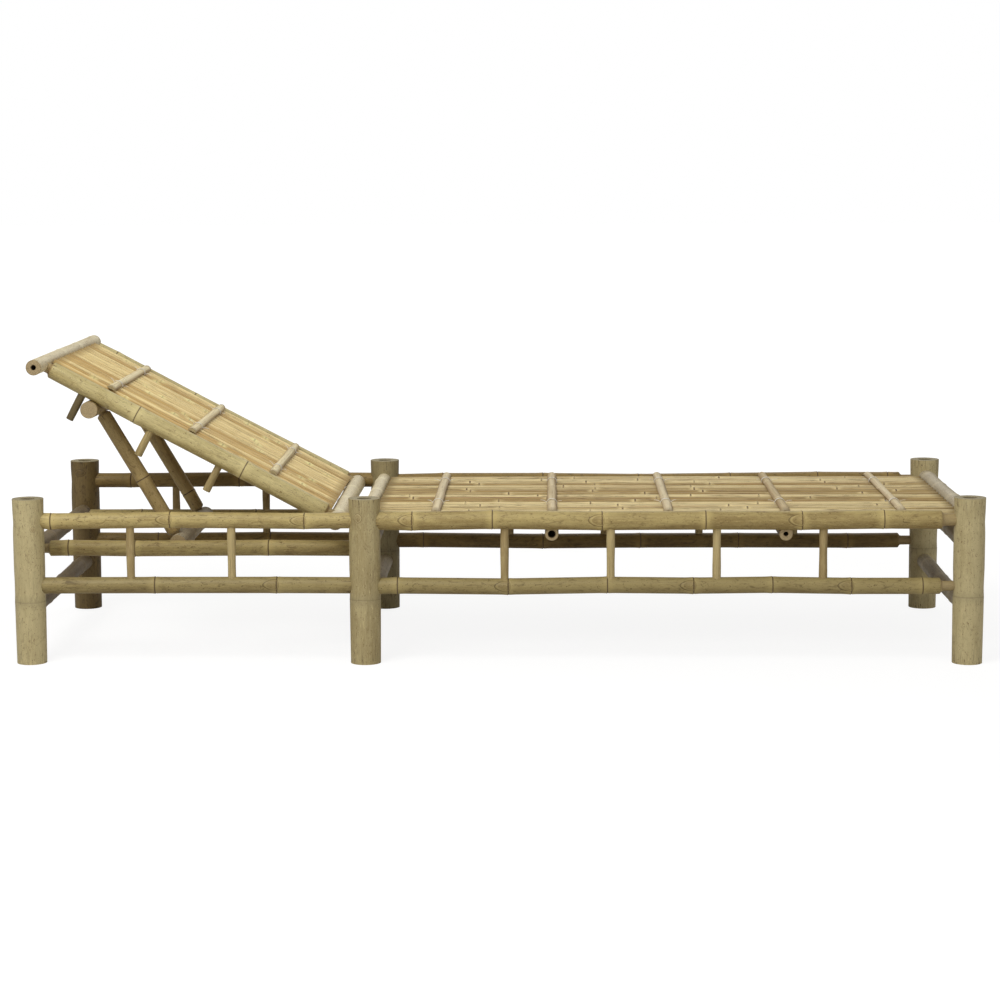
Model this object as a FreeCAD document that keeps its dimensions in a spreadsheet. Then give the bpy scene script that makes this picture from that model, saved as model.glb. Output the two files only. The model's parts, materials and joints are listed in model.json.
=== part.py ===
import FreeCAD, Part
import math
import os

# A folding sun lounger built from bamboo culms. +X runs to the foot end, -Y is the near side
# and +Z is up. The origin is on the ground, below the middle of the frame.

doc = FreeCAD.newDocument("bamboo_recliner")
sheet = doc.addObject("Spreadsheet::Sheet", "Sizes")


class Size:
    """A length or angle that knows its number and the expression it comes from."""

    def __init__(self, value, text=None):
        self.value = float(value)
        self.text = text or repr(float(value))

    def __add__(self, other):
        other = as_size(other)
        return Size(self.value + other.value, f"({self.text} + {other.text})")

    def __radd__(self, other):
        return as_size(other) + self

    def __sub__(self, other):
        other = as_size(other)
        return Size(self.value - other.value, f"({self.text} - {other.text})")

    def __rsub__(self, other):
        return as_size(other) - self

    def __mul__(self, other):
        other = as_size(other)
        return Size(self.value * other.value, f"({self.text} * {other.text})")

    def __rmul__(self, other):
        return as_size(other) * self

    def __truediv__(self, other):
        other = as_size(other)
        return Size(self.value / other.value, f"({self.text} / {other.text})")

    def __neg__(self):
        return Size(-self.value, f"(0 - {self.text})")


def as_size(number):
    return number if isinstance(number, Size) else Size(number)


def sine(angle):
    return Size(math.sin(math.radians(angle.value)), f"sin({angle.text} * 1 deg)")


def cosine(angle):
    return Size(math.cos(math.radians(angle.value)), f"cos({angle.text} * 1 deg)")


def hypotenuse(first, second):
    return Size(math.hypot(first.value, second.value), f"sqrt({first.text}^2 + {second.text}^2)")


def size(name, number):
    row = sheet_rows[0] = sheet_rows[0] + 1
    sheet.set(f"A{row}", name)
    sheet.set(f"B{row}", str(number))
    sheet.setAlias(f"B{row}", name)
    return Size(number, f"Sizes.{name}")


sheet_rows = [0]

# Frame: six legs in three rows
leg_span_x = size("leg_span_x", 1934)
leg_span_y = size("leg_span_y", 650)
head_bay_length = size("head_bay_length", 694)
leg_height = size("leg_height", 343)
leg_diameter = size("leg_diameter", 64.4)
leg_bore = size("leg_bore", 28)
leg_top_recess = size("leg_top_recess", 24)
leg_foot_recess = size("leg_foot_recess", 60)
leg_ring_height = size("leg_ring_height", 128)

# Culm rings and the gaps between pieces
culm_sides = 12
stick_sides = 8
split_sides = 16
ring_rise = size("ring_rise", 0.8)
ring_half_width = size("ring_half_width", 5)
ring_end_gap = size("ring_end_gap", 9)
fit_gap = size("fit_gap", 0.1)
seat_gap = size("seat_gap", 0.3)
running_gap = size("running_gap", 0.1)
tenon_depth = size("tenon_depth", 14)
shoulder_width = size("shoulder_width", 6.5)
foot_neck_length = size("foot_neck_length", 26)
overshoot = size("overshoot", 5)

# Side rails and the spindles between them
upper_rail_drop = size("upper_rail_drop", 46)
lower_rail_height = size("lower_rail_height", 160)
head_rail_diameter = size("head_rail_diameter", 33)
seat_rail_diameter = size("seat_rail_diameter", 39)
lower_rail_diameter = size("lower_rail_diameter", 34)
head_internode = size("head_internode", 250)
seat_internode = size("seat_internode", 205)
lower_internode = size("lower_internode", 390)
spindle_counts = {"head": 2, "seat": 4}
spindle_diameter = size("spindle_diameter", 16)
spindle_depth = size("spindle_depth", 7)
head_spindle_inset = size("head_spindle_inset", 210)
head_spindle_pitch = size("head_spindle_pitch", 209)
seat_spindle_inset = size("seat_spindle_inset", 288)
seat_spindle_outset = size("seat_spindle_outset", 298)

# Cross rails at each row of legs
cross_rail_diameter = size("cross_rail_diameter", 34)
cross_internode = size("cross_internode", 400)
lower_cross_height = size("lower_cross_height", 110)
head_cross_drop = size("head_cross_drop", 70)
foot_cross_drop = size("foot_cross_drop", 57)
top_cross_drop = size("top_cross_drop", 39)

# Seat deck
seat_slat_count = 15
seat_slat_side_gap = size("seat_slat_side_gap", 17.5)
slat_joint = size("slat_joint", 1.2)
slat_unevenness = size("slat_unevenness", 1.6)
seat_slat_thickness = size("seat_slat_thickness", 14)
seat_slat_rise = size("seat_slat_rise", 15)
slat_end_gap = size("slat_end_gap", 0.8)
batten_width = size("batten_width", 19)
batten_thickness = size("batten_thickness", 8)
under_batten_thickness = size("under_batten_thickness", 13)
seat_batten_inset = size("seat_batten_inset", 145)
seat_batten_outset = size("seat_batten_outset", 135)
seat_batten_count = 5
bearer_diameter = size("bearer_diameter", 31)
bearer_bore = size("bearer_bore", 16)
bearer_recess = size("bearer_recess", 40)
bearer_overhang = size("bearer_overhang", 4)
tie_width = size("tie_width", 4)
tie_thickness = size("tie_thickness", 1.2)
seat_tie_inset = size("seat_tie_inset", 130.5)

# Backrest, measured along it from the hinge axis
hinge_setback = size("hinge_setback", 62)
hinge_drop = size("hinge_drop", 5)
backrest_angle = size("backrest_angle", 28)
hinge_bar_diameter = size("hinge_bar_diameter", 36)
hinge_side_gap = size("hinge_side_gap", 1.2)
hinge_pin_diameter = size("hinge_pin_diameter", 12)
hinge_pin_reach = size("hinge_pin_reach", 23)
hinge_pin_seat = size("hinge_pin_seat", 20)
backrest_rail_inset = size("backrest_rail_inset", 57)
backrest_rail_foot = size("backrest_rail_foot", 41)
backrest_rail_head = size("backrest_rail_head", 35)
backrest_internode = size("backrest_internode", 240)
backrest_length = size("backrest_length", 688)
top_rail_diameter = size("top_rail_diameter", 32)
top_rail_overhang = size("top_rail_overhang", 25)
top_rail_bore = size("top_rail_bore", 11)
top_rail_recess = size("top_rail_recess", 40)
top_internode = size("top_internode", 190)
joint_depth = size("joint_depth", 12)
backrest_slat_count = 15
backrest_slat_side_gap = size("backrest_slat_side_gap", 3)
backrest_slat_thickness = size("backrest_slat_thickness", 9)
backrest_slat_top = size("backrest_slat_top", 18)
backrest_batten_width = size("backrest_batten_width", 17)
backrest_batten_thickness = size("backrest_batten_thickness", 7)
backrest_under_thickness = size("backrest_under_thickness", 9)
backrest_batten_first = size("backrest_batten_first", 162)
backrest_batten_pitch = size("backrest_batten_pitch", 189.5)
backrest_batten_count = 3
backrest_tie_inset = size("backrest_tie_inset", 97)

# Pegs under the backrest and the prop that catches them
peg_diameter = size("peg_diameter", 16)
peg_reach = size("peg_reach", 57)
peg_seat = size("peg_seat", 16)
peg_first = size("peg_first", 585)
peg_pitch = size("peg_pitch", 159)
peg_count = 3
prop_bar_diameter = size("prop_bar_diameter", 36)
prop_bar_overhang = size("prop_bar_overhang", 17)
prop_bar_to_peg = size("prop_bar_to_peg", 2.5)
prop_pivot_inset = size("prop_pivot_inset", 292)
prop_pivot_rise = size("prop_pivot_rise", 4)
prop_rail_inset = size("prop_rail_inset", 90)
prop_rail_diameter = size("prop_rail_diameter", 33)
foot_bar_diameter = size("foot_bar_diameter", 38)
prop_leg_inset = size("prop_leg_inset", 57)
prop_leg_diameter = size("prop_leg_diameter", 30)
prop_pin_diameter = size("prop_pin_diameter", 10)
prop_pin_reach = size("prop_pin_reach", 24)
prop_pin_seat = size("prop_pin_seat", 20)
doc.recompute()

# Grown culms are uneven: shares of an internode, and the steps of the waves that scatter rings and widths
ring_scatter = 0.07
ring_scatter_step = 2.3
ring_scatter_run = 90
near_ring_start = 0.45
far_ring_start = 0.7
backrest_ring_start = 0.85
slat_scatter_step = 2.4

# Places that several pieces share
leg_radius = leg_diameter / 2
cross_radius = cross_rail_diameter / 2
row_x = {"head": -leg_span_x / 2, "middle": head_bay_length - leg_span_x / 2, "foot": leg_span_x / 2}
side_sign = {"near": -1, "far": 1}
upper_rail_height = leg_height - upper_rail_drop
top_cross_height = leg_height - top_cross_drop
head_cross_height = upper_rail_height - head_cross_drop
foot_cross_height = upper_rail_height - foot_cross_drop
seat_slat_top = upper_rail_height + seat_slat_rise
hinge_x = row_x["middle"] - hinge_setback
hinge_height = upper_rail_height - hinge_drop
prop_pivot_x = row_x["head"] + prop_pivot_inset
backrest_rail_y = leg_span_y / 2 - backrest_rail_inset
prop_rail_y = leg_span_y / 2 - prop_rail_inset
prop_leg_y = prop_rail_y - prop_leg_inset
rail_inner_y = leg_span_y / 2 - seat_rail_diameter / 2
backrest_inner_y = backrest_rail_y - backrest_rail_foot / 2

X_AXIS = FreeCAD.Vector(1, 0, 0)
Y_AXIS = FreeCAD.Vector(0, 1, 0)
Z_AXIS = FreeCAD.Vector(0, 0, 1)
parts = []


def bind(thing, name, value):
    thing.setExpression(name, as_size(value).text)


def place(thing, x, y, z, direction=Z_AXIS):
    """Put a piece's own origin at a point, with its own Z axis along direction."""
    turn = FreeCAD.Rotation(Z_AXIS, direction)
    point = [as_size(value) for value in (x, y, z)]
    thing.Placement = FreeCAD.Placement(FreeCAD.Vector(*[p.value for p in point]), turn)
    for name, value in zip("xyz", point):
        bind(thing, f"Placement.Base.{name}", value)


def keep(label, thing):
    thing.Label = label
    parts.append(thing)
    return thing


def tenon_radius(diameter):
    return diameter / 2 - shoulder_width


def ring_places(length, first, internode, clear_low, clear_high):
    """Nodes of a culm, one internode apart, with the small unevenness that grown culms have."""
    places = []
    step = 0
    while True:
        scatter = ring_scatter * math.sin(ring_scatter_step * step + length.value / ring_scatter_run)
        ring = first + internode * (step + scatter)
        if ring.value > length.value - clear_high.value - ring_end_gap.value:
            return places
        if ring.value > clear_low.value + ring_end_gap.value:
            places.append(ring)
        step += 1


def segment(body, radius, length, start, sides=culm_sides):
    """One straight stretch of a culm or tenon, along its body's own Z axis."""
    stretch = body.newObject("PartDesign::AdditivePrism", f"{body.Label}_stretch")
    stretch.Polygon = sides
    stretch.Refine = False
    bind(stretch, "Circumradius", radius)
    bind(stretch, "Height", length)
    place(stretch, 0, 0, start)
    body.Tip = stretch


FULL_END = ("full", Size(0), Size(0))


def into_mate(depth):
    """The culm goes into its mate at full girth."""
    return ("full", depth, Size(0))


def whittled(depth, neck=Size(0)):
    """The culm is whittled to a tenon that shows for the neck's length before it enters its mate."""
    return ("whittled", depth, neck)


def culm(label, length, diameter, low=FULL_END, high=FULL_END, internode=None, first=None, taper=None):
    """A bamboo piece along its own Z axis, with a ring at each node.

    Its length is the run between the faces of its mates. A tapered culm loses part of its girth at each node.
    """
    body = doc.addObject("PartDesign::Body", label)
    keep(label, body)
    reach = {"low": low[2], "high": length - high[2]}
    if low[0] == "full":
        reach["low"] = -low[1]
    if high[0] == "full":
        reach["high"] = length + high[1]
    rings = []
    if internode is not None:
        rings = ring_places(length, first or internode / 2, internode, low[2], high[2])
    radius = diameter / 2
    start = reach["low"]
    if taper is None:
        segment(body, radius, reach["high"] - start, start)
        for ring in rings:
            segment(body, radius + ring_rise, 2 * ring_half_width, ring - ring_half_width)
    else:
        loss = taper / 2 / len(rings)
        for ring in rings:
            segment(body, radius, ring - start, start)
            segment(body, radius + ring_rise, 2 * ring_half_width, ring - ring_half_width)
            start = ring
            radius = radius - loss
        segment(body, radius, reach["high"] - start, start)
    if low[0] == "whittled":
        segment(body, tenon_radius(diameter), low[1] + low[2], -low[1], stick_sides)
    if high[0] == "whittled":
        girth = 2 * radius
        segment(body, tenon_radius(girth), high[1] + high[2], reach["high"], stick_sides)
    return body


def facing(direction):
    """Turns a cutter to point out of a culm's side, with its flats square to the culm's own axis."""
    return FreeCAD.Rotation(Z_AXIS.cross(direction), Z_AXIS, direction, "ZYX")


def socket(body, radius, depth, surface, direction, along, sides=culm_sides, shift=(0, 0)):
    """A blind hole from a culm's side: its floor lies depth below the surface, plus the seat gap."""
    hole = body.newObject("PartDesign::SubtractivePrism", f"{body.Label}_socket")
    hole.Polygon = sides
    hole.Refine = False
    floor = surface - depth - seat_gap
    bind(hole, "Circumradius", radius + fit_gap)
    bind(hole, "Height", depth + seat_gap + overshoot)
    place(hole, direction.x * floor + shift[0], direction.y * floor + shift[1], along)
    hole.Placement.Rotation = facing(direction)
    body.Tip = hole


def bore(body, diameter, depth, x, y, z, direction):
    """A round hole, from a point in the body's own frame, along direction."""
    hole = body.newObject("PartDesign::SubtractiveCylinder", f"{body.Label}_bore")
    hole.Refine = False
    bind(hole, "Radius", as_size(diameter) / 2)
    bind(hole, "Height", depth)
    place(hole, x, y, z, direction)
    body.Tip = hole
    return hole


def hollow(body, bore_radius, depth, end, inward):
    """The open end of a culm, down to the wall that closes its first internode."""
    hole = body.newObject("PartDesign::SubtractivePrism", f"{body.Label}_hollow")
    hole.Polygon = stick_sides
    hole.Refine = False
    bind(hole, "Circumradius", bore_radius)
    bind(hole, "Height", depth + overshoot)
    place(hole, 0, 0, end - overshoot * inward, Z_AXIS * inward)
    body.Tip = hole


def stick(label, diameter, length, x, y, z, direction):
    """A small bamboo stick, whittled to eight flats."""
    piece = doc.addObject("Part::Prism", label)
    piece.Polygon = stick_sides
    bind(piece, "Circumradius", as_size(diameter) / 2)
    bind(piece, "Height", length)
    place(piece, x, y, z, direction)
    return piece


def rod(label, diameter, length, x, y, z, direction):
    piece = doc.addObject("Part::Cylinder", label)
    bind(piece, "Radius", as_size(diameter) / 2)
    bind(piece, "Height", length)
    place(piece, x, y, z, direction)
    return piece


def group(label, pieces):
    joined = doc.addObject("Part::Compound", label)
    joined.Links = pieces
    return keep(label, joined)


# Legs

cross_heights = {
    "head": {"upper": head_cross_height, "lower": lower_cross_height},
    "middle": {"top": top_cross_height, "upper": head_cross_height, "lower": lower_cross_height},
    "foot": {"top": top_cross_height, "upper": foot_cross_height, "lower": lower_cross_height},
}


def side_rail_sizes(bay, level):
    """Girth, internode and height of a side rail."""
    if level == "lower":
        return lower_rail_diameter, lower_internode, lower_rail_height
    if bay == "head":
        return head_rail_diameter, head_internode, upper_rail_height
    return seat_rail_diameter, seat_internode, upper_rail_height


def make_leg(side, row):
    leg = culm(f"{side}_{row}_leg", leg_height, leg_diameter, internode=leg_height, first=leg_ring_height)
    hollow(leg, leg_bore / 2, leg_foot_recess, 0, 1)
    hollow(leg, leg_bore / 2, leg_top_recess, leg_height, -1)
    inward = Y_AXIS * -side_sign[side]
    for height in cross_heights[row].values():
        socket(leg, cross_rail_diameter / 2, tenon_depth, leg_radius, inward, height)
    for level in ("upper", "lower"):
        if row != "foot":
            girth, _, height = side_rail_sizes("head" if row == "head" else "seat", level)
            socket(leg, girth / 2, tenon_depth, leg_radius, X_AXIS, height)
        if row == "middle":
            girth, _, height = side_rail_sizes("head", level)
            socket(leg, girth / 2, tenon_depth, leg_radius, -X_AXIS, height)
        if row == "foot":
            girth, _, height = side_rail_sizes("seat", level)
            socket(leg, tenon_radius(girth), tenon_depth, leg_radius, -X_AXIS, height, stick_sides)
    place(leg, row_x[row], leg_span_y / 2 * side_sign[side], 0)


for side in side_sign:
    for row in row_x:
        make_leg(side, row)

# Side rails

bay_start = {"head": row_x["head"] + leg_radius, "seat": row_x["middle"] + leg_radius}
bay_run = {
    "head": row_x["middle"] - row_x["head"] - leg_diameter,
    "seat": row_x["foot"] - row_x["middle"] - leg_diameter,
}
seat_spindle_run = row_x["foot"] - row_x["middle"] - seat_spindle_inset - seat_spindle_outset
spindle_first = {"head": row_x["head"] + head_spindle_inset, "seat": row_x["middle"] + seat_spindle_inset}
spindle_pitch = {"head": head_spindle_pitch, "seat": seat_spindle_run / (spindle_counts["seat"] - 1)}
spindle_places = {
    bay: [spindle_first[bay] + spindle_pitch[bay] * index for index in range(count)]
    for bay, count in spindle_counts.items()
}


def make_side_rail(side, bay, level):
    girth, internode, height = side_rail_sizes(bay, level)
    far_end = whittled(tenon_depth, foot_neck_length) if bay == "seat" else into_mate(tenon_depth)
    first = internode * (near_ring_start if side == "near" else far_ring_start)
    label = f"{side}_{bay}_{level}_rail"
    rail = culm(label, bay_run[bay], girth, into_mate(tenon_depth), far_end, internode, first)
    # Own X points down once the culm lies along +X
    toward_spindles = X_AXIS if level == "upper" else -X_AXIS
    for x in spindle_places[bay]:
        along = x - bay_start[bay]
        socket(rail, spindle_diameter / 2, spindle_depth, girth / 2, toward_spindles, along, stick_sides)
    if (bay, level) == ("head", "upper"):
        inner = (girth / 2 - hinge_pin_seat - seat_gap) * -side_sign[side]
        reach = hinge_pin_seat + seat_gap + overshoot
        along = hinge_x - bay_start[bay]
        # Own X points down once the rail lies along +X
        across = hinge_pin_diameter + 2 * fit_gap
        bore(rail, across, reach, hinge_drop, inner, along, Y_AXIS * -side_sign[side])
    place(rail, bay_start[bay], leg_span_y / 2 * side_sign[side], height, X_AXIS)


for side in side_sign:
    for bay in bay_run:
        for level in ("upper", "lower"):
            make_side_rail(side, bay, level)


def make_spindles(side, bay):
    upper_girth, _, upper_height = side_rail_sizes(bay, "upper")
    lower_girth, _, lower_height = side_rail_sizes(bay, "lower")
    bottom = lower_height + lower_girth / 2 - spindle_depth
    length = upper_height - upper_girth / 2 + spindle_depth - bottom
    y = leg_span_y / 2 * side_sign[side]
    label = f"{side}_{bay}_spindles"
    spindles = []
    for index, x in enumerate(spindle_places[bay]):
        spindles.append(stick(f"{label}_{index}", spindle_diameter, length, x, y, bottom, Z_AXIS))
    group(label, spindles)


for side in side_sign:
    for bay in bay_run:
        make_spindles(side, bay)

# Cross rails

cross_run = leg_span_y - leg_diameter


def make_cross_rail(row, level, height):
    end = into_mate(tenon_depth)
    label = f"{row}_{level}_cross_rail"
    rail = culm(label, cross_run, cross_rail_diameter, end, end, cross_internode)
    if level == "upper" and row != "foot":
        inward = X_AXIS if row == "head" else -X_AXIS
        tenon = tenon_radius(prop_rail_diameter)
        for sign in side_sign.values():
            along = cross_run / 2 + prop_rail_y * sign
            socket(rail, tenon, joint_depth, cross_radius, inward, along, stick_sides)
    place(rail, row_x[row], -cross_run / 2, height, Y_AXIS)


for row, levels in cross_heights.items():
    for level, height in levels.items():
        make_cross_rail(row, level, height)

# Inner rails that carry the prop

prop_run = head_bay_length - cross_rail_diameter
prop_pivot_z = head_cross_height + prop_pivot_rise


def make_prop_rail(side):
    end = whittled(joint_depth)
    rail = culm(f"{side}_prop_rail", prop_run, prop_rail_diameter, end, end, cross_internode)
    start = row_x["head"] + cross_rail_diameter / 2
    sign = side_sign[side]
    inner = (prop_rail_diameter / 2 - prop_pin_seat - seat_gap) * -sign
    reach = prop_pin_seat + seat_gap + overshoot
    along = prop_pivot_x - start
    bore(rail, prop_pin_diameter + 2 * fit_gap, reach, -prop_pivot_rise, inner, along, Y_AXIS * -sign)
    place(rail, start, prop_rail_y * sign, head_cross_height, X_AXIS)


for side in side_sign:
    make_prop_rail(side)

# Split culms: slats and battens, round side up


def split_culm(label, width, thickness, length, x, y, z, along=X_AXIS):
    """A strip split from a culm: flat below, round above, centred on a point of its flat side."""
    radius = (width * width / 4 + thickness * thickness) / (2 * thickness)
    whole = doc.addObject("Part::Prism", label + "_culm")
    whole.Polygon = split_sides
    bind(whole, "Circumradius", radius)
    bind(whole, "Height", length)
    side = doc.addObject("Part::Box", label + "_side")
    bind(side, "Length", width)
    bind(side, "Width", length)
    bind(side, "Height", thickness + overshoot)
    strip = doc.addObject("Part::Common", label)
    strip.Base = whole
    strip.Tool = side
    place(whole, 0, -length / 2, thickness - radius, Y_AXIS)
    place(side, -width / 2, -length / 2, 0)
    place(strip, x, y, z)
    if along == X_AXIS:
        strip.Placement.Rotation = FreeCAD.Rotation(Z_AXIS, 90)
    return strip


def slat_width(pitch, index):
    """Slats are split by hand, so each is a little narrower or wider than its neighbours."""
    return pitch - slat_joint - slat_unevenness * math.sin(slat_scatter_step * index) ** 2


seat_slat_low = seat_slat_top - seat_slat_thickness
seat_under_low = seat_slat_low - seat_gap - under_batten_thickness
seat_slat_start = row_x["middle"] + cross_radius + slat_end_gap
seat_slat_length = row_x["foot"] - cross_radius - slat_end_gap - seat_slat_start


seat_slat_pitch = 2 * (rail_inner_y - seat_slat_side_gap) / seat_slat_count


def make_seat_slats():
    slats = []
    thickness = seat_slat_thickness
    length = seat_slat_length
    for index in range(seat_slat_count):
        y = seat_slat_pitch * (index - (seat_slat_count - 1) / 2)
        width = slat_width(seat_slat_pitch, index)
        x = seat_slat_start + length / 2
        slats.append(split_culm(f"seat_slat_{index}", width, thickness, length, x, y, seat_slat_low))
    return group("seat_slats", slats)


make_seat_slats()
seat_batten_first = row_x["middle"] + seat_batten_inset
seat_batten_pitch = (row_x["foot"] - seat_batten_outset - seat_batten_first) / (seat_batten_count - 1)
batten_places = [seat_batten_first + seat_batten_pitch * index for index in range(seat_batten_count)]


def make_seat_battens():
    length = 2 * (rail_inner_y - ring_rise - seat_gap)
    top_z = seat_slat_top + seat_gap
    tops = []
    unders = []
    for index, x in enumerate(batten_places):
        label = f"seat_batten_{index}"
        tops.append(split_culm(label, batten_width, batten_thickness, length, x, 0, top_z, Y_AXIS))
        label = f"seat_under_batten_{index}"
        under = split_culm(label, batten_width, under_batten_thickness, length, x, 0, seat_under_low, Y_AXIS)
        unders.append(under)
    group("seat_battens", tops)
    group("seat_under_battens", unders)


make_seat_battens()


def make_bearer(name, x):
    """A round pole under the deck's battens, notched where it passes below the side rails."""
    length = leg_span_y + 2 * bearer_overhang
    pole = culm(name, length, bearer_diameter, internode=cross_internode)
    height = seat_under_low - seat_gap - ring_rise - bearer_diameter / 2
    hollow(pole, bearer_bore / 2, bearer_recess, 0, 1)
    hollow(pole, bearer_bore / 2, bearer_recess, length, -1)
    for sign in side_sign.values():
        notch = pole.newObject("PartDesign::SubtractivePrism", f"{name}_notch")
        notch.Polygon = culm_sides
        notch.Refine = False
        bind(notch, "Circumradius", seat_rail_diameter / 2 + ring_rise + fit_gap)
        bind(notch, "Height", 2 * bearer_diameter)
        # Own -Y is up once the pole lies along +Y
        place(notch, -bearer_diameter, height - upper_rail_height, length / 2 + leg_span_y / 2 * sign, X_AXIS)
        pole.Tip = notch
    place(pole, x, -length / 2, height, Y_AXIS)


make_bearer("head_bearer", batten_places[1])
make_bearer("foot_bearer", batten_places[3])


def make_tie(label, width, height, x, y, z):
    """A flat loop of cane: a square sleeve round a batten, its floor below the batten's flat side."""
    outer = doc.addObject("Part::Box", label + "_outer")
    bind(outer, "Length", width + 2 * tie_thickness)
    bind(outer, "Width", tie_width)
    bind(outer, "Height", height + tie_thickness)
    inner = doc.addObject("Part::Box", label + "_inner")
    bind(inner, "Length", width)
    bind(inner, "Width", tie_width + 2 * overshoot)
    bind(inner, "Height", height)
    place(outer, -width / 2 - tie_thickness, -tie_width / 2, 0)
    place(inner, -width / 2, -tie_width / 2 - overshoot, 0)
    loop = doc.addObject("Part::Cut", label)
    loop.Base = outer
    loop.Tool = inner
    place(loop, x, y, z)
    return loop


def make_seat_ties():
    ties = []
    width = batten_width + 2 * fit_gap
    height = batten_thickness + fit_gap
    y = rail_inner_y - seat_tie_inset
    z = seat_slat_top + seat_gap
    for x in batten_places:
        for sign in side_sign.values():
            ties.append(make_tie(f"seat_tie_{len(ties)}", width, height, x, y * sign, z))
    return group("seat_ties", ties)


make_seat_ties()

# Backrest: pieces are placed by their distance along it, across it and above its rails' axes

lean_cos = cosine(backrest_angle)
lean_sin = sine(backrest_angle)
along_backrest = FreeCAD.Vector(-lean_cos.value, 0, lean_sin.value)
above_backrest = FreeCAD.Vector(lean_sin.value, 0, lean_cos.value)
backrest_turn = FreeCAD.Rotation(along_backrest * -1, Y_AXIS, above_backrest, "XYZ")


def on_backrest(along, above):
    x = hinge_x - along * lean_cos + above * lean_sin
    z = hinge_height + along * lean_sin + above * lean_cos
    return x, z


# A bar that lies along +Y has its own X axis along +X and its own Y axis pointing down
up_backrest_from_bar = FreeCAD.Vector(-lean_cos.value, -lean_sin.value, 0)


def pin_bores(bar, pin_diameter, reach, length):
    """Round bores in both ends of a turning bar, with a running gap round the pins."""
    for start, inward in ((Size(0), 1), (length, -1)):
        depth = reach + seat_gap + overshoot
        bore(bar, pin_diameter + 2 * running_gap, depth, 0, 0, start - overshoot * inward, Z_AXIS * inward)


def make_hinge_bar():
    length = leg_span_y - head_rail_diameter - 2 * hinge_side_gap
    bar = culm("hinge_bar", length, hinge_bar_diameter, internode=cross_internode)
    pin_bores(bar, hinge_pin_diameter, hinge_pin_reach, length)
    for sign in side_sign.values():
        along = length / 2 + backrest_rail_y * sign
        tenon = tenon_radius(backrest_rail_foot)
        socket(bar, tenon, joint_depth, hinge_bar_diameter / 2, up_backrest_from_bar, along, stick_sides)
    place(bar, hinge_x, -length / 2, hinge_height, Y_AXIS)


make_hinge_bar()
rail_foot = hinge_bar_diameter / 2
rail_reach = backrest_length - top_rail_diameter / 2 - rail_foot
backrest_ring_first = backrest_internode * backrest_ring_start
peg_places = [peg_first - peg_pitch * index for index in range(peg_count)]


def backrest_rail_radius(along):
    """The rail loses girth at each of its nodes on the way up."""
    rings = ring_places(rail_reach, backrest_ring_first, backrest_internode, Size(0), Size(0))
    passed = sum(1 for ring in rings if ring.value < (along - rail_foot).value)
    return backrest_rail_foot / 2 - (backrest_rail_foot - backrest_rail_head) / 2 * passed / len(rings)


def make_backrest_rail(side):
    end = whittled(joint_depth)
    taper = backrest_rail_foot - backrest_rail_head
    label = f"{side}_backrest_rail"
    girth = backrest_rail_foot
    rail = culm(label, rail_reach, girth, end, end, backrest_internode, backrest_ring_first, taper)
    for along in peg_places:
        surface = backrest_rail_radius(along)
        socket(rail, peg_diameter / 2, peg_seat, surface, -X_AXIS, along - rail_foot, stick_sides)
    x, z = on_backrest(rail_foot, Size(0))
    place(rail, x, backrest_rail_y * side_sign[side], z)
    rail.Placement.Rotation = FreeCAD.Rotation(above_backrest, Y_AXIS, along_backrest, "ZXY")


for side in side_sign:
    make_backrest_rail(side)


top_rail_length = leg_span_y + 2 * top_rail_overhang


def make_top_rail():
    rail = culm("backrest_top_rail", top_rail_length, top_rail_diameter, internode=top_internode)
    hollow(rail, top_rail_bore / 2, top_rail_recess, 0, 1)
    hollow(rail, top_rail_bore / 2, top_rail_recess, top_rail_length, -1)
    for sign in side_sign.values():
        along = top_rail_length / 2 + backrest_rail_y * sign
        tenon = tenon_radius(backrest_rail_head)
        toward_rail = up_backrest_from_bar * -1
        socket(rail, tenon, joint_depth, top_rail_diameter / 2, toward_rail, along, stick_sides)
    x, z = on_backrest(backrest_length, Size(0))
    place(rail, x, -top_rail_length / 2, z, Y_AXIS)


make_top_rail()


def lay_on_backrest(thing, along, y, above):
    """Lay a strip or tie, drawn flat and pointing down the backrest, on the backrest."""
    x, z = on_backrest(along, above)
    place(thing, x, y, z)
    thing.Placement.Rotation = backrest_turn
    return thing


backrest_slat_low = backrest_slat_top - backrest_slat_thickness
backrest_slat_pitch = 2 * (backrest_inner_y - backrest_slat_side_gap) / backrest_slat_count


def make_backrest_slats():
    start = hinge_bar_diameter / 2 + slat_end_gap
    length = backrest_length - top_rail_diameter / 2 - slat_end_gap - start
    slats = []
    for index in range(backrest_slat_count):
        y = backrest_slat_pitch * (index - (backrest_slat_count - 1) / 2)
        width = slat_width(backrest_slat_pitch, index)
        slat = split_culm(f"backrest_slat_{index}", width, backrest_slat_thickness, length, 0, 0, 0)
        lay_on_backrest(slat, start + length / 2, y, backrest_slat_low)
        slat.Placement.Rotation = backrest_turn.multiply(FreeCAD.Rotation(Z_AXIS, 90))
        slats.append(slat)
    return group("backrest_slats", slats)


make_backrest_slats()


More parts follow.
